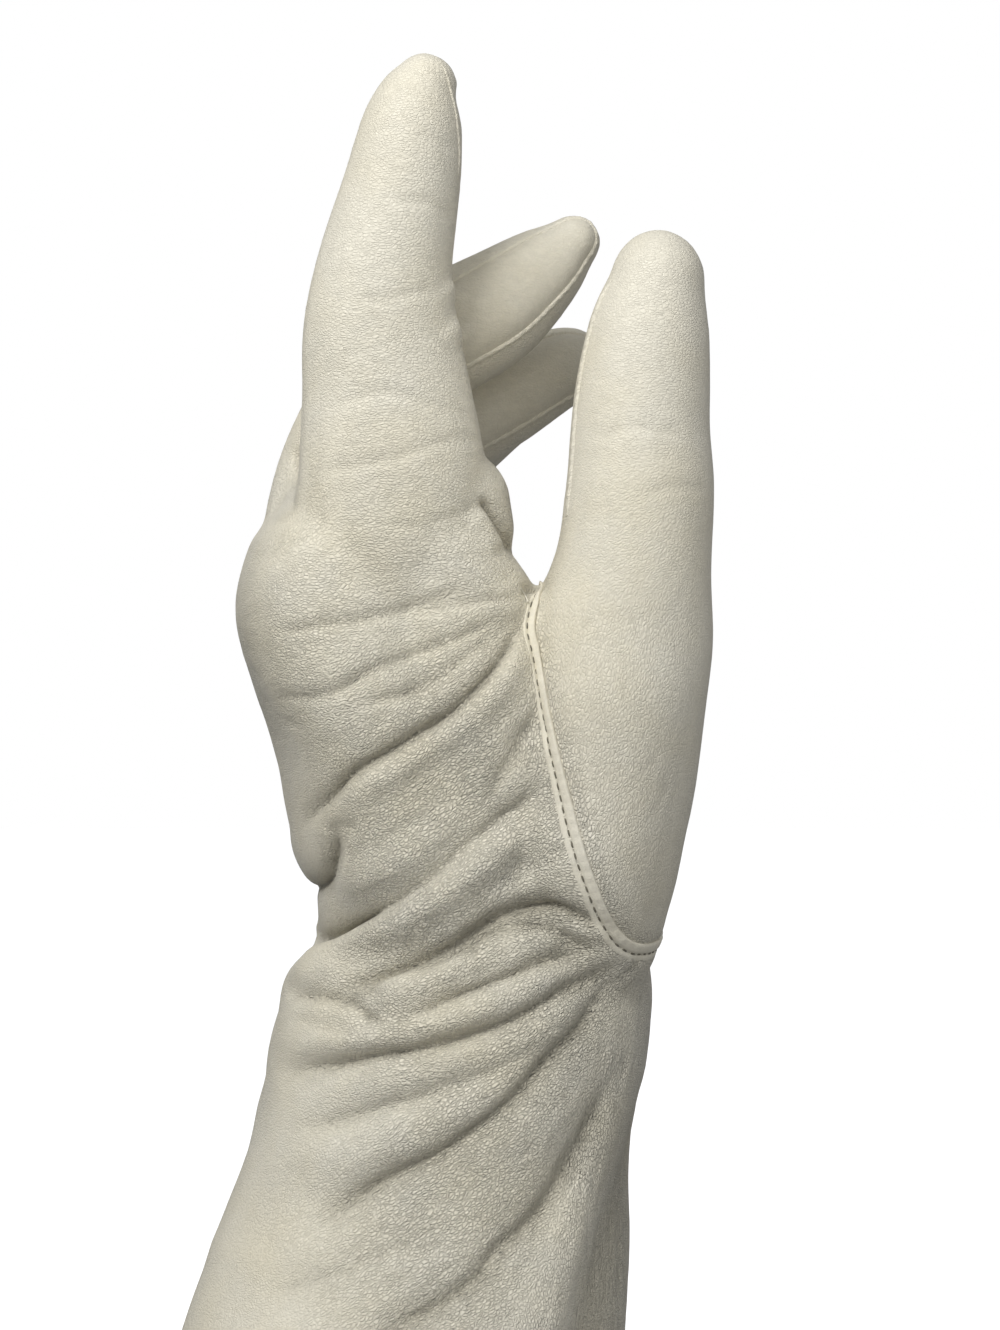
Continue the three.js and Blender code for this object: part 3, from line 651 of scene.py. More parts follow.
def gusset_field(points, name):
    """Distance to a gusset's edge, positive on the gusset."""
    near, far, foot = GUSSETS[name]
    middle = (LIMBS[near][1][1] + LIMBS[far][1][1]) / 2
    fields = []
    for finger, away in ((near, 1), (far, -1)):
        table, tip = LIMBS[finger]
        place = np.linspace(0, len(table["x"]) - 1, 80)
        line = np.stack([along(table, "x", place), along(table, "z", place)], axis=1)
        wide = np.interp(place / place[-1], [0, 0.6, 1], GUSSET_SHARE)
        half = along(table, "deep", place) * wide
        rest = np.array([0.3, 0.55, 0.75, 0.9, 1.0])
        end = line[-1] + (np.array([tip[0], tip[2]]) - line[-1]) * 0.97 * rest[:, None]
        line = np.vstack([line, end])
        half = np.append(half, half[-1] * np.sqrt(1 - rest ** 2))
        lengths = np.concatenate([[0], np.cumsum(np.linalg.norm(np.diff(line, axis=0), axis=1))])
        share_of_foot = np.interp(foot, line[:, 1], lengths) / lengths[-1]
        distance, share, _ = line_distance(points[:, [0, 2]], line)
        strip = np.interp(share * lengths[-1], lengths, half) - np.abs(distance)
        strip = smooth_min(strip, (share - share_of_foot) * lengths[-1], 4)
        fields.append(smooth_min(strip, away * (points[:, 1] - tip[1]) - 1.5, 2))
    share = smoothstep(points[:, 1], middle - 2.5, middle + 2.5)
    return (1 - share) * fields[0] + share * fields[1]


def cut_along(skin, layer):
    """Cut the faces along the line where a field passes through zero, in the same order each time."""
    zero = {}
    for edge in list(skin.edges):
        a, b = edge.verts
        fa, fb = a[layer], b[layer]
        if (fa > 0) == (fb > 0):
            continue
        t = fa / (fa - fb)
        if t < 0.12 or t > 0.88:
            vertex = a if t < 0.12 else b
            if vertex not in zero:
                vertex.co = a.co.lerp(b.co, t)
        else:
            _, vertex = bmesh.utils.edge_split(edge, a, t)
        vertex[layer] = 0
        zero[vertex] = True
    for vertex in zero:
        vertex[layer] = 0
    for face in dict.fromkeys(face for vertex in zero for face in vertex.link_faces):
        ends = [v for v in face.verts if v in zero]
        if len(ends) == 2 and not any(e.other_vert(ends[0]) is ends[1] for e in ends[0].link_edges):
            bmesh.utils.face_split(face, ends[0], ends[1])


def one_sided(faces):
    """The edges that only one face has, each directed as that face has it."""
    sides = {}
    for face in faces:
        for a, b in zip(face, face[1:] + face[:1]):
            if (b, a) in sides:
                del sides[(b, a)]
            else:
                sides[(a, b)] = True
    return list(sides)


def chained(edges):
    """Directed edges as loops of points, the longest first."""
    following = dict(edges)
    loops = []
    while following:
        start = next(iter(following))
        loop = [start]
        while loop[-1] in following:
            step = following.pop(loop[-1])
            if step == start:
                break
            loop.append(step)
        loops.append(loop)
    return sorted(loops, key=len, reverse=True)


class Skin:
    """The whole outer skin, folded, and cut into its panels."""

    def __init__(self):
        mesh = joined_form(0.0, *SKIN_GRAIN)
        points, normals = points_and_normals(mesh)
        fields = {"thumb": thumb_field(points)}
        for name in GUSSETS:
            fields[name] = gusset_field(points, name)
        turn = flow_turn(points, normals)
        gather = gather_amount(points)
        panels = np.max([fields[name] for name in GUSSETS], axis=0)
        gather = gather * (1 - 0.8 * smoothstep(panels, -1, 1))
        depth, drawn = fold_depth(points, normals)
        crinkles = crinkle_depth(points, normals, turn, gather)
        wrinkles = wrinkle_depth(points, gather) + crinkles
        seams = np.zeros(len(points))
        for name, field in fields.items():
            deep, width = THUMB_DENT if name == "thumb" else GUSSET_DENT
            seams += deep * np.exp(-(field / width) ** 2)
        total = depth + wrinkles + seams
        points = points - normals * total[:, None] + drawn
        mesh.vertices.foreach_set("co", (points * MM).ravel())

        skin = bmesh.new()
        skin.from_mesh(mesh)
        # The crease note follows fold and crinkle depth; the leather uses it for painted shade deep in the
        # creases and to show the thin creases
        crease = np.clip(0.5 + 0.3 * depth + 0.8 * crinkles, 0, 1)
        noted = {**fields, "crease": crease, "turn": turn, "gather": gather}
        for name in noted:
            skin.verts.layers.float.new(name)
        layers = {name: skin.verts.layers.float[name] for name in noted}
        for vertex in skin.verts:
            for name, layer in layers.items():
                vertex[layer] = noted[name][vertex.index]
        notes = [layers.pop(name) for name in NOTES]
        cut_off_below(skin, HEM_CUT)
        for layer in layers.values():
            cut_along(skin, layer)
        skin.verts.index_update()
        self.points = np.array([v.co for v in skin.verts]) / MM
        self.notes = np.array([[v[note] for note in notes] for v in skin.verts])
        self.faces = [tuple(v.index for v in f.verts) for f in skin.faces]
        self.panel = [next((name for name, layer in layers.items() if sum(v[layer] for v in face.verts) > 0),
                           "hand_and_cuff") for face in skin.faces]
        skin.free()
        bpy.data.meshes.remove(mesh)
        self.normals = vertex_normals(self.points, self.faces)
        self.tree = BVHTree.FromPolygons(self.points.tolist(), self.faces)

    def faces_of(self, label):
        return [face for face, panel in zip(self.faces, self.panel) if panel == label]

    def loops(self, label):
        """A panel's borders, each as a closed list of points."""
        return chained(one_sided(self.faces_of(label)))

    def part(self, label):
        """A panel's points, faces and notes, its border edges above the hem, and its normals."""
        faces = self.faces_of(label)
        used = sorted({i for face in faces for i in face})
        place = {old: new for new, old in enumerate(used)}
        edges = [(place[a], place[b]) for a, b in one_sided(faces)
                 if max(self.points[a][2], self.points[b][2]) > HEM_CUT + SEAM_REACH]
        faces = [tuple(place[i] for i in face) for face in faces]
        return self.points[used], faces, self.notes[used], edges, self.normals[used]


# What is made once and used again
made = {}


def the_skin():
    if "skin" not in made:
        made["skin"] = Skin()
    return made["skin"]


def vertex_normals(points, faces):
    """The way out of each point, from all the faces round it."""
    normals = np.zeros_like(points)
    for size in {len(face) for face in faces}:
        corners = np.array([face for face in faces if len(face) == size])
        arms = points[corners] - points[corners[:, :1]]
        across = np.cross(arms[:, 1:-1], arms[:, 2:]).sum(axis=1)
        for k in range(size):
            np.add.at(normals, corners[:, k], across)
    return unit(normals)


def panel_shape(label):
    """A panel's points, faces and notes, with its cut edges turned in, and those edges."""
    points, faces, notes, edges, normals = the_skin().part(label)
    rim = sorted({i for edge in edges for i in edge})
    inner = {old: len(points) + k for k, old in enumerate(rim)}
    points = np.concatenate([points, points[rim] - normals[rim] * LIP])
    notes = np.concatenate([notes, notes[rim]])
    faces = faces + [(b, a, inner[a], inner[b]) for a, b in edges]
    return points, faces, notes, {tuple(sorted(edge)) for edge in edges}


def finish_mesh(name, points, faces, notes=None, sharp=()):
    mesh = new_mesh(name, points, faces)
    mesh.shade_smooth()
    if notes is None:
        notes = np.tile(PLAIN_NOTES, (len(points), 1))
    for k, note in enumerate(NOTES):
        values = mesh.attributes.new(note, "FLOAT", "POINT").data
        values.foreach_set("value", notes[:, k].astype(np.float32))
    if sharp:
        marks = [tuple(sorted(edge.vertices)) in sharp for edge in mesh.edges]
        mesh.attributes.new("sharp_edge", "BOOLEAN", "EDGE").data.foreach_set("value", marks)
    return new_object(name, mesh)


# Seams that follow a line on the skin

def resampled(points, step, closed):
    if closed:
        points = np.vstack([points, points[:1]])
    lengths = np.concatenate([[0], np.cumsum(np.linalg.norm(np.diff(points, axis=0), axis=1))])
    count = max(int(round(lengths[-1] / step)), 4)
    at = np.linspace(0, lengths[-1], count + 1)
    if closed:
        at = at[:-1]
    return np.stack([np.interp(at, lengths, points[:, k]) for k in range(3)], axis=1)


def eased(points, rounds, closed):
    for _ in range(rounds):
        if closed:
            points = 0.5 * points + 0.25 * (np.roll(points, 1, axis=0) + np.roll(points, -1, axis=0))
        else:
            points = points.copy()
            points[1:-1] = 0.5 * points[1:-1] + 0.25 * (points[:-2] + points[2:])
    return points


def nearest_skin(points):
    """The nearest place on the skin to each point, and the skin's normal there."""
    tree = the_skin().tree
    found = [tree.find_nearest(Vector(point)) for point in points]
    return np.array([hit[0] for hit in found]), np.array([hit[1] for hit in found])


def laid_on_skin(points, closed):
    """The points moved onto the skin, with the skin's normal and the sideways way at each."""
    placed, normals = nearest_skin(points)
    normals = unit(eased(normals, 6, closed))
    placed = eased(placed, 2, closed)
    if closed:
        ahead = np.roll(placed, -1, axis=0) - np.roll(placed, 1, axis=0)
    else:
        ahead = np.gradient(placed, axis=0)
    aside = unit(np.cross(unit(ahead), normals))
    return placed, normals, aside, unit(ahead)


def strip(line, closed, profile, widen=1.0, swell=1.0):
    """A raised strip: the profile's (sideways, height) pairs carried along a line on the skin."""
    points, normals, aside, _ = laid_on_skin(line, closed)
    count, wide = len(points), len(profile)
    widen, swell = np.reshape(widen, (-1, 1)), np.reshape(swell, (-1, 1))
    rows = []
    for side, height in profile:
        base, _ = nearest_skin(points + aside * side * widen)
        base = eased(base, 3, closed)
        rows.append(base + normals * height * (swell if height > 0 else 1.0))
    grid = np.stack(rows, axis=1).reshape(-1, 3)
    faces = []
    for i in range(count if closed else count - 1):
        j = (i + 1) % count
        for k in range(wide - 1):
            faces.append((i * wide + k, i * wide + k + 1, j * wide + k + 1, j * wide + k))
        faces.append((i * wide + wide - 1, i * wide, j * wide, j * wide + wide - 1))
    if not closed:
        faces.append(tuple(reversed(range(wide))))
        faces.append(tuple(range((count - 1) * wide, count * wide)))
    return grid, faces


# How far apart a seam's sections are
SEAM_STEP = 0.5

# The welt across its width: the hand's edge, the stitched channel, then the raised band. Sideways
# places are shares of half its width, positive on the thumb's side, and heights are millimetres.
WELT = [(-2.4, -0.25), (-2.1, 0.0), (-1.7, 0.1), (-1.3, 0.12), (-1.08, -0.02), (-0.82, -0.02), (-0.66, 0.3),
        (-0.35, 0.46), (0.1, 0.56), (0.55, 0.6), (0.84, 0.52), (1.0, 0.25), (1.0, -0.4)]
CHANNEL = -0.95

# How much higher the welt and a rib stand between their stitches, as a share
WELT_PUCKER = 0.08
RIB_PUCKER = 0.22


def thumb_loop(step=SEAM_STEP):
    """The thumb's seam as a closed line on the skin, with the thumb to its right."""
    skin = the_skin()
    loop = skin.points[skin.loops("thumb")[0]]
    return eased(resampled(eased(loop, 14, True), step, True), 8, True)


def welt_size(line):
    """Half the welt's width along its line, narrower towards the crotch, negative to face the thumb."""
    half = bpy.context.scene.glove_seams.welt_width / MM / 2
    top = 1 - 0.6 * smoothstep(line[:, 2], 161, 163.5) * smoothstep(-line[:, 1], 4, 9)
    return half * np.interp(line[:, 2], [100, 125, 150, 168], [1.0, 0.95, 0.72, 0.6]) * -top


# A seam's rib across its width: sideways place and height, in millimetres
RIB = [(-0.62, -0.25), (-0.5, 0.08), (-0.28, 0.3), (0.0, 0.38), (0.28, 0.3), (0.5, 0.08), (0.62, -0.25)]


def rib_along(line, closed, pitch, size=1.0):
    """A narrow seam rib that puckers slightly at each stitch."""
    line = eased(resampled(line, SEAM_STEP, closed), 4, closed)
    passed = np.arange(len(line)) * SEAM_STEP
    swell = 1 + RIB_PUCKER * np.cos(2 * math.pi * passed / pitch)
    if not closed:
        ends = np.minimum(passed, passed[-1] - passed)
        swell = swell * smoothstep(ends, -0.5, 3)
    return strip(line, closed, RIB, size, swell * size)


def tube(line, radius, end_radius, sides=8):
    """A thin round cord along a line, tapering to its end."""
    ahead = unit(np.gradient(line, axis=0))
    aside = unit(np.cross(ahead, [0, 1, 0]))
    up = np.cross(aside, ahead)
    rings = []
    for i, middle in enumerate(line):
        size = radius + (end_radius - radius) * i / (len(line) - 1)
        for k in range(sides):
            angle = 2 * math.pi * k / sides
            rings.append(middle + size * (aside[i] * math.cos(angle) + up[i] * math.sin(angle)))
    return np.array(rings), ring_faces(len(line), sides)


def stitches_along(line, step, offset, pitch, length, radius, sink):
    """Short rounded stitches set along a closed line, beside it."""
    points, normals, aside, ahead = laid_on_skin(line, True)
    base, _ = nearest_skin(points + aside * np.reshape(offset, (-1, 1)))
    base = eased(base, 20, True)
    every = max(int(round(pitch / step)), 1)
    sides, stations = 6, [(-1.0, 0.25), (-0.8, 0.8), (-0.35, 1.0), (0.35, 1.0), (0.8, 0.8), (1.0, 0.25)]
    parts = []
    for i in range(0, len(points) - every // 2, every):
        middle = base[i] - normals[i] * sink
        rings = []
        for reach, size in stations:
            centre = middle + ahead[i] * reach * length / 2 - normals[i] * (abs(reach) ** 3) * radius * 0.7
            for k in range(sides):
                angle = 2 * math.pi * k / sides
                spoke = aside[i] * math.cos(angle) + normals[i] * math.sin(angle)
                rings.append(centre + radius * size * spoke)
        parts.append((np.array(rings), ring_faces(len(stations), sides)))
    return merged(parts)


# Finishes

def node(tree, kind, **settings):
    made_node = tree.nodes.new(kind)
    for name, value in settings.items():
        if name.startswith("in_"):
            made_node.inputs[name[3:].replace("_", " ")].default_value = value
        else:
            setattr(made_node, name, value)
    return made_node


def new_material(name, **settings):
    """A material with one shader, which takes the settings."""
    material = bpy.data.materials.new(name)
    material.use_nodes = True
    tree = material.node_tree
    tree.nodes.clear()
    shader = node(tree, "ShaderNodeBsdfPrincipled", **settings)
    output = node(tree, "ShaderNodeOutputMaterial")
    tree.links.new(shader.outputs[0], output.inputs[0])
    return material, tree, shader


def fill(tree, sockets, values):
    """Sockets linked to sockets, or set to plain values."""
    for socket, value in zip(sockets, values):
        if isinstance(value, bpy.types.NodeSocket):
            tree.links.new(value, socket)
        else:
            socket.default_value = value


def maths(tree, operation, *values):
    made_node = node(tree, "ShaderNodeMath", operation=operation)
    fill(tree, made_node.inputs, values)
    return made_node.outputs[0]


def ranged(tree, value, low, high, to_low=0.0, to_high=1.0):
    """A value carried from one range to another, and held within it."""
    made_node = node(tree, "ShaderNodeMapRange", in_From_Min=low, in_From_Max=high, in_To_Min=to_low,
                     in_To_Max=to_high)
    tree.links.new(value, made_node.inputs["Value"])
    return made_node.outputs[0]


def texture(tree, kind, vector, **settings):
    made_node = node(tree, kind, **settings)
    tree.links.new(vector, made_node.inputs["Vector"])
    return made_node


def cells(tree, vector, scale):
    """The distance to the nearest edge of small cells."""
    return texture(tree, "ShaderNodeTexVoronoi", vector, feature="DISTANCE_TO_EDGE",
                   in_Scale=scale).outputs["Distance"]


def bump(tree, height, strength, distance, under=None):
    """A relief's normal, over another relief's where one is given."""
    made_node = node(tree, "ShaderNodeBump", in_Strength=strength, in_Distance=distance)
    tree.links.new(height, made_node.inputs["Height"])
    if under is not None:
        tree.links.new(under, made_node.inputs["Normal"])
    return made_node.outputs[0]


def mixed(tree, kind, low, high, share):
    """A number or colour between two."""
    made_node = node(tree, "ShaderNodeMix", data_type=kind)
    fill(tree, [made_node.inputs[name] for name in ("A", "B", "Factor")], [low, high, share])
    return made_node.outputs["Result"]


def leather_height(tree, vector, degrees):
    """Soft leather's height where it is drawn out one way: streaks, pebbles and thin creases."""
    streaks, pebbles, creases = (
        texture(tree, "ShaderNodeMapping", vector, vector_type="TEXTURE",
                in_Rotation=(0, math.radians(-degrees), 0), in_Scale=(stretch, 1, 1)).outputs[0]
        for stretch in (2.5, 2.0, 8.0))
    return (texture(tree, "ShaderNodeTexNoise", streaks, in_Scale=1350.0, in_Detail=2.5,
                    in_Roughness=0.55).outputs["Fac"],
            cells(tree, pebbles, 2150.0), cells(tree, creases, 880.0))


def leather_material(name, settings, tint, smooth):
    """Soft grained leather that follows the folds, with painted shade making it darker and warmer in its
    creases.
    """
    material, tree, shader = new_material(name, in_Specular_IOR_Level=0.4, in_Sheen_Weight=0.06,
                                          in_Sheen_Roughness=0.5)
    link = tree.links.new
    calc, spread, blend = partial(maths, tree), partial(ranged, tree), partial(mixed, tree, "FLOAT")
    place = node(tree, "ShaderNodeTexCoord").outputs["Object"]
    warp = texture(tree, "ShaderNodeTexNoise", place, in_Scale=260.0, in_Detail=2.0)
    shift = node(tree, "ShaderNodeVectorMath", operation="MULTIPLY_ADD")
    fill(tree, shift.inputs, [warp.outputs["Color"], (0.0009, 0.0009, 0.0009), place])
    bent = shift.outputs[0]

    crease, turn, gather = (node(tree, "ShaderNodeAttribute", attribute_name=name).outputs["Fac"]
                            for name in NOTES)
    level, rising, steep = (leather_height(tree, bent, way) for way in (0, 35, 75))
    first, second = spread(turn, 12, 24), spread(turn, 48, 62)
    grain, pebble, lines = (blend(blend(level[k], rising[k], first), steep[k], second) for k in range(3))
    aside = node(tree, "ShaderNodeSeparateXYZ")
    link(node(tree, "ShaderNodeNewGeometry").outputs["Normal"], aside.inputs[0])
    sideways = calc("ABSOLUTE", aside.outputs["X"])
    pebble = blend(pebble, cells(tree, bent, 2000.0), spread(sideways, 0.75, 0.95))
    plump = spread(pebble, 0, 0.2)
    relief = calc("MULTIPLY_ADD", grain, spread(gather, 0.25, 0.8, 0.3, 1.5), plump)
    swell = calc("MULTIPLY", relief, spread(gather, 0.1, 0.8, 0.3, 1.0))

    patches = texture(tree, "ShaderNodeTexNoise", place, in_Scale=140.0, in_Detail=1.0)
    where = calc("MULTIPLY", spread(patches.outputs["Fac"], 0.42, 0.6),
                  spread(gather, 0.12, 0.9, 0.05, 0.6))
    most = calc("MAXIMUM", where, spread(crease, 0.55, 0.8, 0, 0.8))
    thin = blend(1.0, spread(lines, 0, 0.1), most)
    creased = bump(tree, thin, 0.5 * smooth, settings.wrinkle_depth)
    link(bump(tree, swell, 0.9 * smooth, settings.grain_depth, creased), shader.inputs["Normal"])

    mottle = texture(tree, "ShaderNodeTexNoise", place, in_Scale=38.0, in_Detail=5.0, in_Roughness=0.6)
    colour = [c * tint for c in settings.colour]
    ground = mixed(tree, "RGBA", (*colour, 1), (colour[0] * 0.97, colour[1] * 0.95, colour[2] * 0.89, 1),
                      spread(mottle.outputs["Fac"], 0.38, 0.68))
    # Painted shade: the colour goes darker and warmer towards the crease colour deep in the folds
    crease_shaded = mixed(tree, "RGBA", ground, (*settings.crease_shade_colour, 1), spread(crease, 0.52, 1.0, 0, 0.8))
    # Painted shade: the colour darkens between the pebbles, most where the leather gathers, and along the
    # thin creases
    pebble_shade = blend(1.0, spread(plump, 0, 0.7, 0.82, 1.0), spread(gather, 0.1, 0.8, 0.25, 1.0))
    shade = calc("MULTIPLY", pebble_shade, spread(thin, 0, 1, 0.85, 1.0))
    final = node(tree, "ShaderNodeVectorMath", operation="SCALE")
    link(crease_shaded, final.inputs[0])
    link(calc("MULTIPLY", shade, spread(grain, 0.3, 0.65, 0.94, 1.02)), final.inputs["Scale"])
    link(final.outputs[0], shader.inputs["Base Color"])
    link(spread(grain, 0.3, 0.7, settings.roughness + 0.08, settings.roughness - 0.05),
         shader.inputs["Roughness"])
    return material


def shades(colour, darker):
    """A darker copy of a colour for painted shade in grooves, and the colour itself."""
    return (*[c * darker for c in colour], 1), (*colour, 1)


def thread_material(name, colour):
    """Twisted sewing thread."""
    material, tree, shader = new_material(name, in_Roughness=0.75, in_Sheen_Weight=0.2)
    link = tree.links.new
    place = node(tree, "ShaderNodeTexCoord").outputs["Object"]
    lay = texture(tree, "ShaderNodeMapping", place, in_Rotation=(0.6, 0.5, 0.3)).outputs["Vector"]
    twist = texture(tree, "ShaderNodeTexWave", lay, in_Scale=900.0, in_Distortion=1.5).outputs["Fac"]
    link(bump(tree, twist, 0.7, 0.00006), shader.inputs["Normal"])
    # The thread darkens in the grooves of its twist: painted shade
    link(mixed(tree, "RGBA", *shades(colour, 0.7), twist), shader.inputs["Base Color"])
    return material


def knit_material(settings):
    """A fine soft knit, with its columns of stitches running up the hand."""
    material, tree, shader = new_material("knitted_cashmere", in_Roughness=0.9, in_Sheen_Weight=0.5,
                                          in_Sheen_Roughness=0.6)
    link, calc = tree.links.new, partial(maths, tree)
    place = node(tree, "ShaderNodeTexCoord").outputs["Object"]
    split = node(tree, "ShaderNodeSeparateXYZ")
    link(place, split.inputs[0])
    x, y, z = split.outputs
    vee = calc("ABSOLUTE", calc("SINE", calc("MULTIPLY", calc("ARCTAN2", y, x), 150.0)))
    rise = calc("MULTIPLY_ADD", z, 5200.0, calc("MULTIPLY", vee, 2.2))
    loops = calc("MULTIPLY_ADD", calc("SINE", rise), 0.5, vee)
    fuzz = texture(tree, "ShaderNodeTexNoise", place, in_Scale=2600.0, in_Detail=4.0)
    knitted = bump(tree, loops, 0.8, 0.00035)
    link(bump(tree, fuzz.outputs["Fac"], 0.5, 0.0002, knitted), shader.inputs["Normal"])
    # The knit darkens between its loops: painted shade
    link(mixed(tree, "RGBA", *shades(settings.knit_colour, 0.62), loops), shader.inputs["Base Color"])
    return material


# The leathers: the material's name, its tint, and how much of the grain it keeps
LEATHERS = {
    "leather": ("cream_leather", 1.0, 1.0),
    "welt": ("cream_leather_welt", 1.0, 0.45),
    # The gussets' tint below 1 is painted shade, for panels that sit in shade between the fingers
    "gusset": ("cream_leather_gusset", 0.92, 0.7),
}


def finish(name):
    """The finish of that name, made once."""
    if name not in made:
        settings = bpy.context.scene.glove_leather
        if name in LEATHERS:
            title, tint, smooth = LEATHERS[name]
            made[name] = leather_material(title, settings, tint, smooth)
        elif name == "knit":
            made[name] = knit_material(settings)
        elif name == "thread":
            # The stitches' material: thread darkened to paint the shadow in the stitch holes
            made[name] = thread_material("sewing_thread_painted_shadow", bpy.context.scene.glove_seams.thread_and_hole_shadow_colour)
        else:
            made[name] = thread_material(name, settings.colour)
    return made[name]


def place_piece(piece, material, slot, *stands_for):
    piece.data.materials.append(finish(material))
    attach(piece, "root")
    if stands_for:
        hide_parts(*stands_for)


# Sizes and colours

def colour_of(name, description, default):
    return FloatVectorProperty(name=name, description=description, subtype="COLOR", size=3, min=0, max=1,
                               default=default)


def length_of(name, description, default, low, high):
    return FloatProperty(name=name, description=description, default=default, min=low, max=high,
                         unit="LENGTH", precision=5)


class GLOVE_PG_leather(bpy.types.PropertyGroup):
    colour: colour_of("Leather", "Colour of the smooth leather", (0.74, 0.70, 0.585))
    # The crease colour is painted shade deep in the folds
    crease_shade_colour: colour_of("Creases", "Colour deep in the creases", (0.46, 0.425, 0.33))
    knit_colour: colour_of("Lining", "Colour of the knitted lining", (0.62, 0.55, 0.43))
    roughness: FloatProperty(name="Roughness", description="Roughness on top of the grain",
                             default=0.5, min=0.2, max=0.85)
    grain_depth: length_of("Grain depth", "Depth of the leather's fine grain", 0.00026, 0, 0.001)
    wrinkle_depth: length_of("Wrinkle depth", "Depth of the finest wrinkles", 0.00035, 0, 0.003)


class GLOVE_PG_seams(bpy.types.PropertyGroup):
    welt_width: length_of("Welt width", "Width of the welt on the thumb's seam", 0.0021, 0.001, 0.004)
    stitch_pitch: length_of("Stitch pitch", "From one stitch to the next", 0.0020, 0.001, 0.004)
    stitch_length: length_of("Stitch length", "Length of one stitch", 0.00135, 0.0005, 0.003)
    thread_size: length_of("Thread thickness", "Thickness of the sewing thread", 0.0004, 0.0001, 0.001)
    # The stitches' dark thread colour is partly the thread and partly painted shadow of their stitch holes
    thread_and_hole_shadow_colour: colour_of("Thread", "Colour of the sewing thread", (0.17, 0.155, 0.11))


class GLOVE_PG_stage(bpy.types.PropertyGroup):
    floor_colour: colour_of("Floor", "Colour of the floor", (0.9, 0.9, 0.9))
    key_power: FloatProperty(name="Key light", description="Power of the light from the upper left",
                             default=2.5, min=0, unit="POWER")
    fill_power: FloatProperty(name="Fill light", description="Power of the light from the front",
                              default=1.1, min=0, unit="POWER")
    room_light: FloatProperty(name="Room light", description="Strength of the light from all sides",
                              default=0.28, min=0, max=2)


# Pieces

class GLOVE_OT_hand_and_cuff(bpy.types.Operator):
    """Make the cuff, palm, back and finger fronts, with the turned-in hem"""

    bl_idname = "glove.hand_and_cuff"
    bl_label = "Hand and cuff"

    def execute(self, context):
        points, faces, notes, sharp = panel_shape("hand_and_cuff")
        loop = chained([(a, b) for a, b in one_sided(faces)
                        if max(points[a][2], points[b][2]) < HEM_CUT + SEAM_REACH])[0]
        base = points[loop]
        palm, back, far, near = (BODY[name][1] for name in ("palm", "back", "far", "near"))
        angle = np.arctan2((base[:, 1] - (far + near) / 2) / ((far - near) / 2),
                           (base[:, 0] - (palm + back) / 2) / ((palm - back) / 2))
        residue = base - body_ring(HEM_CUT, 0, angle)
        rings = []
        for z, inset in HEM:
            flat = body_ring(max(z, 0), inset, angle)
            flat[:, 2] = z
            rings.append(flat + residue * max(0.0, 1 - inset / 2))
        size, total = len(loop), len(points)
        points = np.concatenate([points] + rings)
        notes = np.concatenate([notes, np.tile(PLAIN_NOTES, (size * len(rings), 1))])
        rows = [loop] + [[total + r * size + k for k in range(size)] for r in range(len(rings))]
        for low, high in zip(rows[:-1], rows[1:]):
            for k in range(size):
                j = (k + 1) % size
                faces.append((low[j], low[k], high[k], high[j]))
        piece = finish_mesh("hand_and_cuff_leather", points, faces, notes, sharp)
        place_piece(piece, "leather", "leather", "hand_and_cuff")
        return {"FINISHED"}


class GLOVE_OT_thumb(bpy.types.Operator):
    """Make the set-in thumb"""

    bl_idname = "glove.thumb"
    bl_label = "Thumb"

    def execute(self, context):
        piece = finish_mesh("thumb_leather", *panel_shape("thumb"))
        place_piece(piece, "leather", "leather", "thumb")
        return {"FINISHED"}


class GLOVE_OT_gussets(bpy.types.Operator):
    """Make the forked gussets between the fingers, each with the rib of its seam"""

    bl_idname = "glove.gussets"
    bl_label = "Gussets"

    def execute(self, context):
        skin = the_skin()
        pitch = context.scene.glove_seams.stitch_pitch / MM
        for name in GUSSETS:
            piece = finish_mesh(name + "_leather", *panel_shape(name))
            place_piece(piece, "gusset", "gusset_leather", name)
            for k, loop in enumerate(loop for loop in skin.loops(name) if len(loop) > SHORTEST_BORDER):
                line = eased(skin.points[loop], 8, True)
                rib = finish_mesh(f"{name}_seam_{k}", *rib_along(line, True, pitch))
                place_piece(rib, "leather", "leather", name)
        return {"FINISHED"}


class GLOVE_OT_welt(bpy.types.Operator):
    """Make the welt that follows the thumb's seam"""

    bl_idname = "glove.welt"
    bl_label = "Thumb welt"

    def execute(self, context):
        line = thumb_loop()
        passed = np.arange(len(line)) * SEAM_STEP
        pitch = context.scene.glove_seams.stitch_pitch / MM
        swell = 1 + WELT_PUCKER * np.cos(2 * math.pi * passed / pitch)
        piece = finish_mesh("thumb_welt_leather", *strip(line, True, WELT, welt_size(line), swell))
        place_piece(piece, "welt", "leather", "thumb_welt")
        return {"FINISHED"}


def surface_line(starts, towards):
    """Points where straight lines from outside meet the skin."""
    tree = the_skin().tree
    hits = [tree.ray_cast(Vector(start), Vector(towards))[0] for start in starts]
    return np.array([hit for hit in hits if hit is not None])


def from_the_front(line):
    return surface_line([(x, -OUTSIDE, z) for x, z in line], (0, 1, 0))


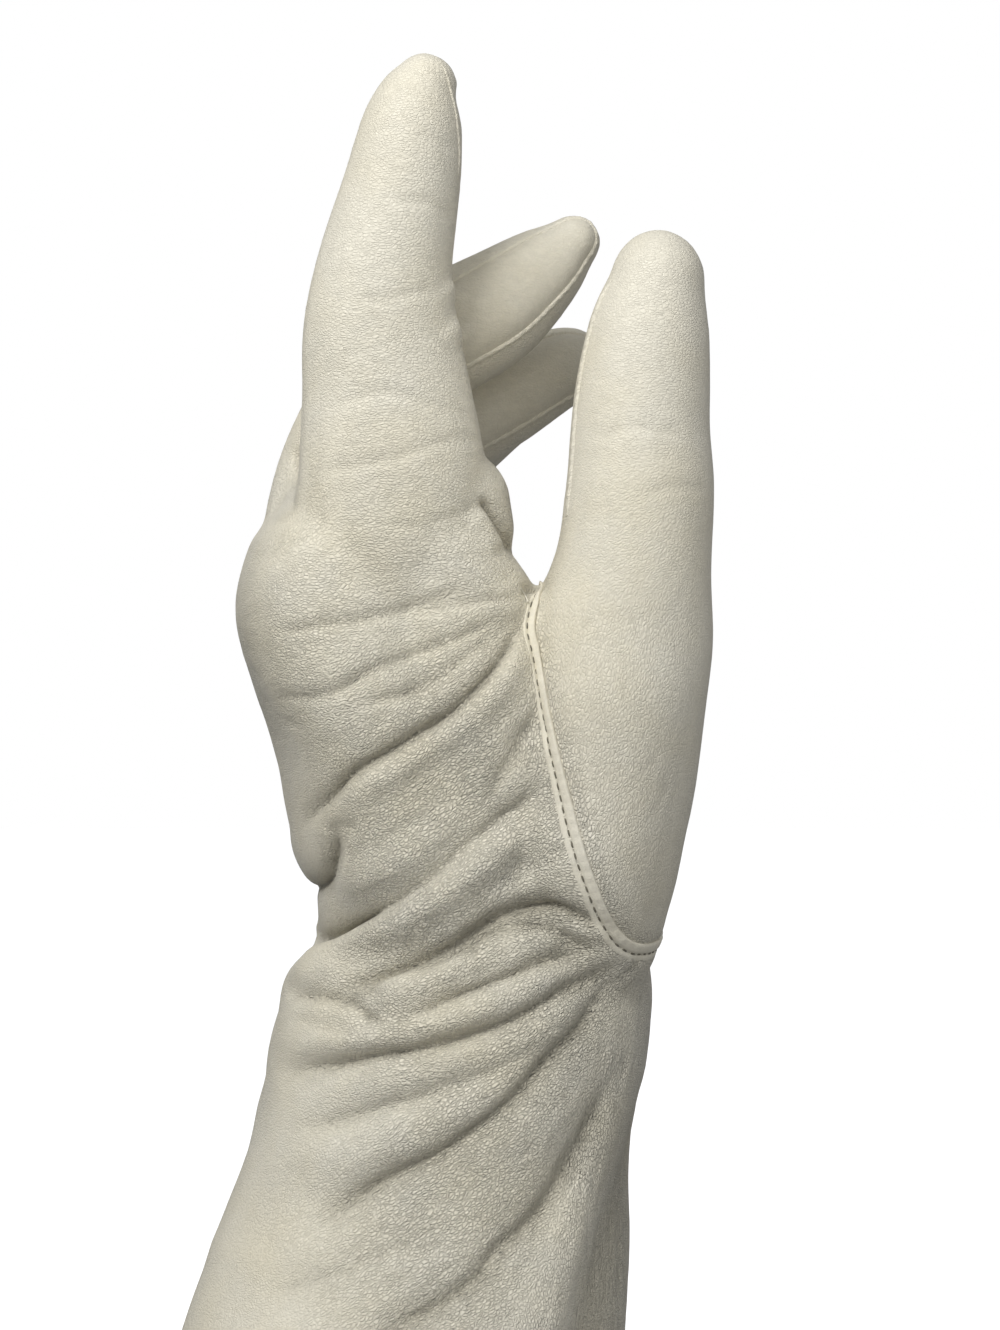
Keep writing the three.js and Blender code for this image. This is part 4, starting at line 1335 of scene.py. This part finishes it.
class GLOVE_OT_closing_seams(bpy.types.Operator):
    """Make the ribs of the closing seams: the outer side, the index fingertip and the thumb"""

    bl_idname = "glove.closing_seams"
    bl_label = "Closing seams"

    def execute(self, context):
        pitch = context.scene.glove_seams.stitch_pitch / MM
        middle = (BODY["palm"] + BODY["back"]) / 2
        heights = np.linspace(2, 150, 150)
        starts = [(float(np.interp(z, BODY["z"], middle)), OUTSIDE, z) for z in heights
                  if z < OUTER_SEAM_TURN]
        little, thumb = LIMBS["little"][0], LIMBS["thumb"][0]
        place = np.linspace(LITTLE_FROM, len(little["x"]) - 1, 60)
        starts += [(x, OUTSIDE, z) for x, z in zip(along(little, "x", place), along(little, "z", place))]
        side = surface_line(starts, (0, -1, 0))
        place = np.linspace(THUMB_FROM, len(thumb["x"]) - 1, 60)
        inner = surface_line([(BESIDE_THUMB, y - THUMB_SHIFT, z) for y, z in
                              zip(along(thumb, "y", place), along(thumb, "z", place))], (1, 0, 0))
        for name, line, size in (("outer_side_seam", side, 1.0),
                                 ("index_tip_seam", from_the_front(INDEX_TIP_SEAM), 0.6),
                                 ("thumb_side_seam", inner, 1.0)):
            rib = finish_mesh(name, *rib_along(line, False, pitch, size))
            place_piece(rib, "leather", "leather")
        return {"FINISHED"}


class GLOVE_OT_stitching(bpy.types.Operator):
    """Make the stitches beside the thumb's welt and round the hem"""

    bl_idname = "glove.stitching"
    bl_label = "Stitching"

    def execute(self, context):
        seams = context.scene.glove_seams
        pitch, length = seams.stitch_pitch / MM, seams.stitch_length / MM
        radius, step = seams.thread_size / MM / 2, 0.1
        line = thumb_loop(step)
        angle = np.linspace(0, 2 * math.pi, 1800, endpoint=False)
        hem = resampled(body_ring(HEM_STITCHES, -1, angle), step, True)
        rows = ((line, welt_size(line) * CHANNEL, pitch, WELT_SINK),
                (hem, np.zeros(len(hem)), pitch * HEM_PITCH, HEM_SINK))
        piece = finish_mesh("stitching", *merged([
            stitches_along(row, step, offset, apart, length, radius, radius * sunk)
            for row, offset, apart, sunk in rows]))
        place_piece(piece, "thread", "thread")
        end = from_the_front(THREAD_END) - np.array([[0, lift, 0] for lift in THREAD_LIFT])
        end = resampled(end, THREAD_STEP, False)
        place_piece(finish_mesh("thread_end", *tube(end, *THREAD_RADII)), "thread_end", "thread")
        return {"FINISHED"}


class GLOVE_OT_lining(bpy.types.Operator):
    """Make the knitted inside of the glove"""

    bl_idname = "glove.lining"
    bl_label = "Lining"

    def execute(self, context):
        mesh = joined_form(KNIT_INSET, *KNIT_GRAIN)
        points, normals = points_and_normals(mesh)
        points = points - normals * fold_depth(points, normals)[0][:, None]
        mesh.vertices.foreach_set("co", (points * MM).ravel())
        knit = bmesh.new()
        knit.from_mesh(mesh)
        cut_off_below(knit, KNIT_CUT)
        bmesh.ops.reverse_faces(knit, faces=knit.faces[:])
        knit.to_mesh(mesh)
        knit.free()
        mesh.shade_smooth()
        piece = new_object("knitted_inside", mesh)
        place_piece(piece, "knit", "knit")
        return {"FINISHED"}


# The stage, in metres: the floor, the lights with their widths, and the camera, which looks along +Y
FLOOR_RADIUS = 2.5
FLOOR_HEIGHT = -0.0004
LIT_PLACE = (0.012, 0.0, 0.13)
LIGHTS = {"key": ((-0.20, -0.38, 0.53), 0.28), "fill": ((0.10, -0.62, 0.27), 0.5)}
CAMERA_PLACE = (0.0216, -0.582, 0.1503)

# The camera's film height, and half of the height that it takes in from a distance, in millimetres
SENSOR = 36
SEEN_FROM = 600
HALF_HEIGHT_SEEN = 119.7


class GLOVE_OT_stage(bpy.types.Operator):
    """Set the floor, the light and the camera"""

    bl_idname = "glove.stage"
    bl_label = "Stage"

    def execute(self, context):
        settings = context.scene.glove_stage
        scene = context.scene
        turns = np.linspace(0, 2 * math.pi, 64, endpoint=False).tolist()
        rim = [(FLOOR_RADIUS * math.cos(t), FLOOR_RADIUS * math.sin(t), FLOOR_HEIGHT) for t in turns]
        mesh = bpy.data.meshes.new("floor")
        mesh.from_pydata(rim, [], [tuple(range(len(rim)))])
        floor = new_object("floor", mesh)
        floor.visible_diffuse = False
        floor.visible_glossy = False
        material, _, _ = new_material("pale_floor", in_Base_Color=(*settings.floor_colour, 1),
                                      in_Roughness=0.9, in_Emission_Color=(1, 1, 1, 1),
                                      in_Emission_Strength=0.72)
        floor.data.materials.append(material)

        world = bpy.data.worlds.new("room")
        scene.world = world
        world.use_nodes = True
        tree = world.node_tree
        tree.nodes.clear()
        link = tree.links.new
        seen = node(tree, "ShaderNodeBackground", in_Color=(1, 1, 1, 1), in_Strength=1.0)
        felt = node(tree, "ShaderNodeBackground", in_Color=(0.97, 0.98, 1, 1))
        rise = node(tree, "ShaderNodeSeparateXYZ")
        link(node(tree, "ShaderNodeTexCoord").outputs["Generated"], rise.inputs[0])
        low, high = settings.room_light * 0.55, settings.room_light * 1.65
        link(ranged(tree, rise.outputs["Z"], -1.0, 1.0, low, high), felt.inputs["Strength"])
        choose = node(tree, "ShaderNodeMixShader")
        fill(tree, choose.inputs, [node(tree, "ShaderNodeLightPath").outputs["Is Camera Ray"],
                                   felt.outputs[0], seen.outputs[0]])
        link(choose.outputs[0], node(tree, "ShaderNodeOutputWorld").inputs[0])

        for name, (where, size) in LIGHTS.items():
            light = bpy.data.lights.new(name, "AREA")
            light.energy = settings.key_power if name == "key" else settings.fill_power
            light.size = size
            lamp = new_object(name, light)
            lamp.location = where
            lamp.rotation_euler = (Vector(LIT_PLACE) - Vector(where)).to_track_quat("-Z", "Y").to_euler()

        camera = bpy.data.cameras.new("camera")
        camera.sensor_fit = "VERTICAL"
        camera.sensor_height = SENSOR
        camera.lens = SENSOR / 2 * SEEN_FROM / HALF_HEIGHT_SEEN
        eye = new_object("camera", camera)
        eye.location = CAMERA_PLACE
        eye.rotation_euler = (math.pi / 2, 0, 0)
        scene.camera = eye
        scene.view_settings.view_transform = "Standard"
        return {"FINISHED"}


class GLOVE_PT_panel(bpy.types.Panel):
    """The glove's pieces, sizes and colours"""

    bl_idname = "GLOVE_PT_panel"
    bl_label = "Leather glove"
    bl_space_type = "VIEW_3D"
    bl_region_type = "UI"
    bl_category = "Glove"

    def draw(self, context):
        for operator in OPERATORS:
            self.layout.operator(operator.bl_idname)
        for group in (context.scene.glove_leather, context.scene.glove_seams, context.scene.glove_stage):
            for name in group.__annotations__:
                self.layout.prop(group, name)


OPERATORS = (GLOVE_OT_hand_and_cuff, GLOVE_OT_thumb, GLOVE_OT_gussets, GLOVE_OT_welt,
             GLOVE_OT_closing_seams, GLOVE_OT_stitching, GLOVE_OT_lining, GLOVE_OT_stage)
GROUPS = {"glove_leather": GLOVE_PG_leather, "glove_seams": GLOVE_PG_seams, "glove_stage": GLOVE_PG_stage}
CLASSES = (*GROUPS.values(), *OPERATORS, GLOVE_PT_panel)


def register():
    for cls in CLASSES:
        bpy.utils.register_class(cls)
    for name, group in GROUPS.items():
        setattr(bpy.types.Scene, name, PointerProperty(type=group))


def unregister():
    for name in GROUPS:
        delattr(bpy.types.Scene, name)
    for cls in reversed(CLASSES):
        bpy.utils.unregister_class(cls)


def main():
    register()
    bpy.ops.glove.hand_and_cuff()
    bpy.ops.glove.thumb()
    bpy.ops.glove.gussets()
    bpy.ops.glove.welt()
    bpy.ops.glove.closing_seams()
    bpy.ops.glove.stitching()
    bpy.ops.glove.lining()
    bpy.ops.glove.stage()


if __name__ == "__main__":
    main()
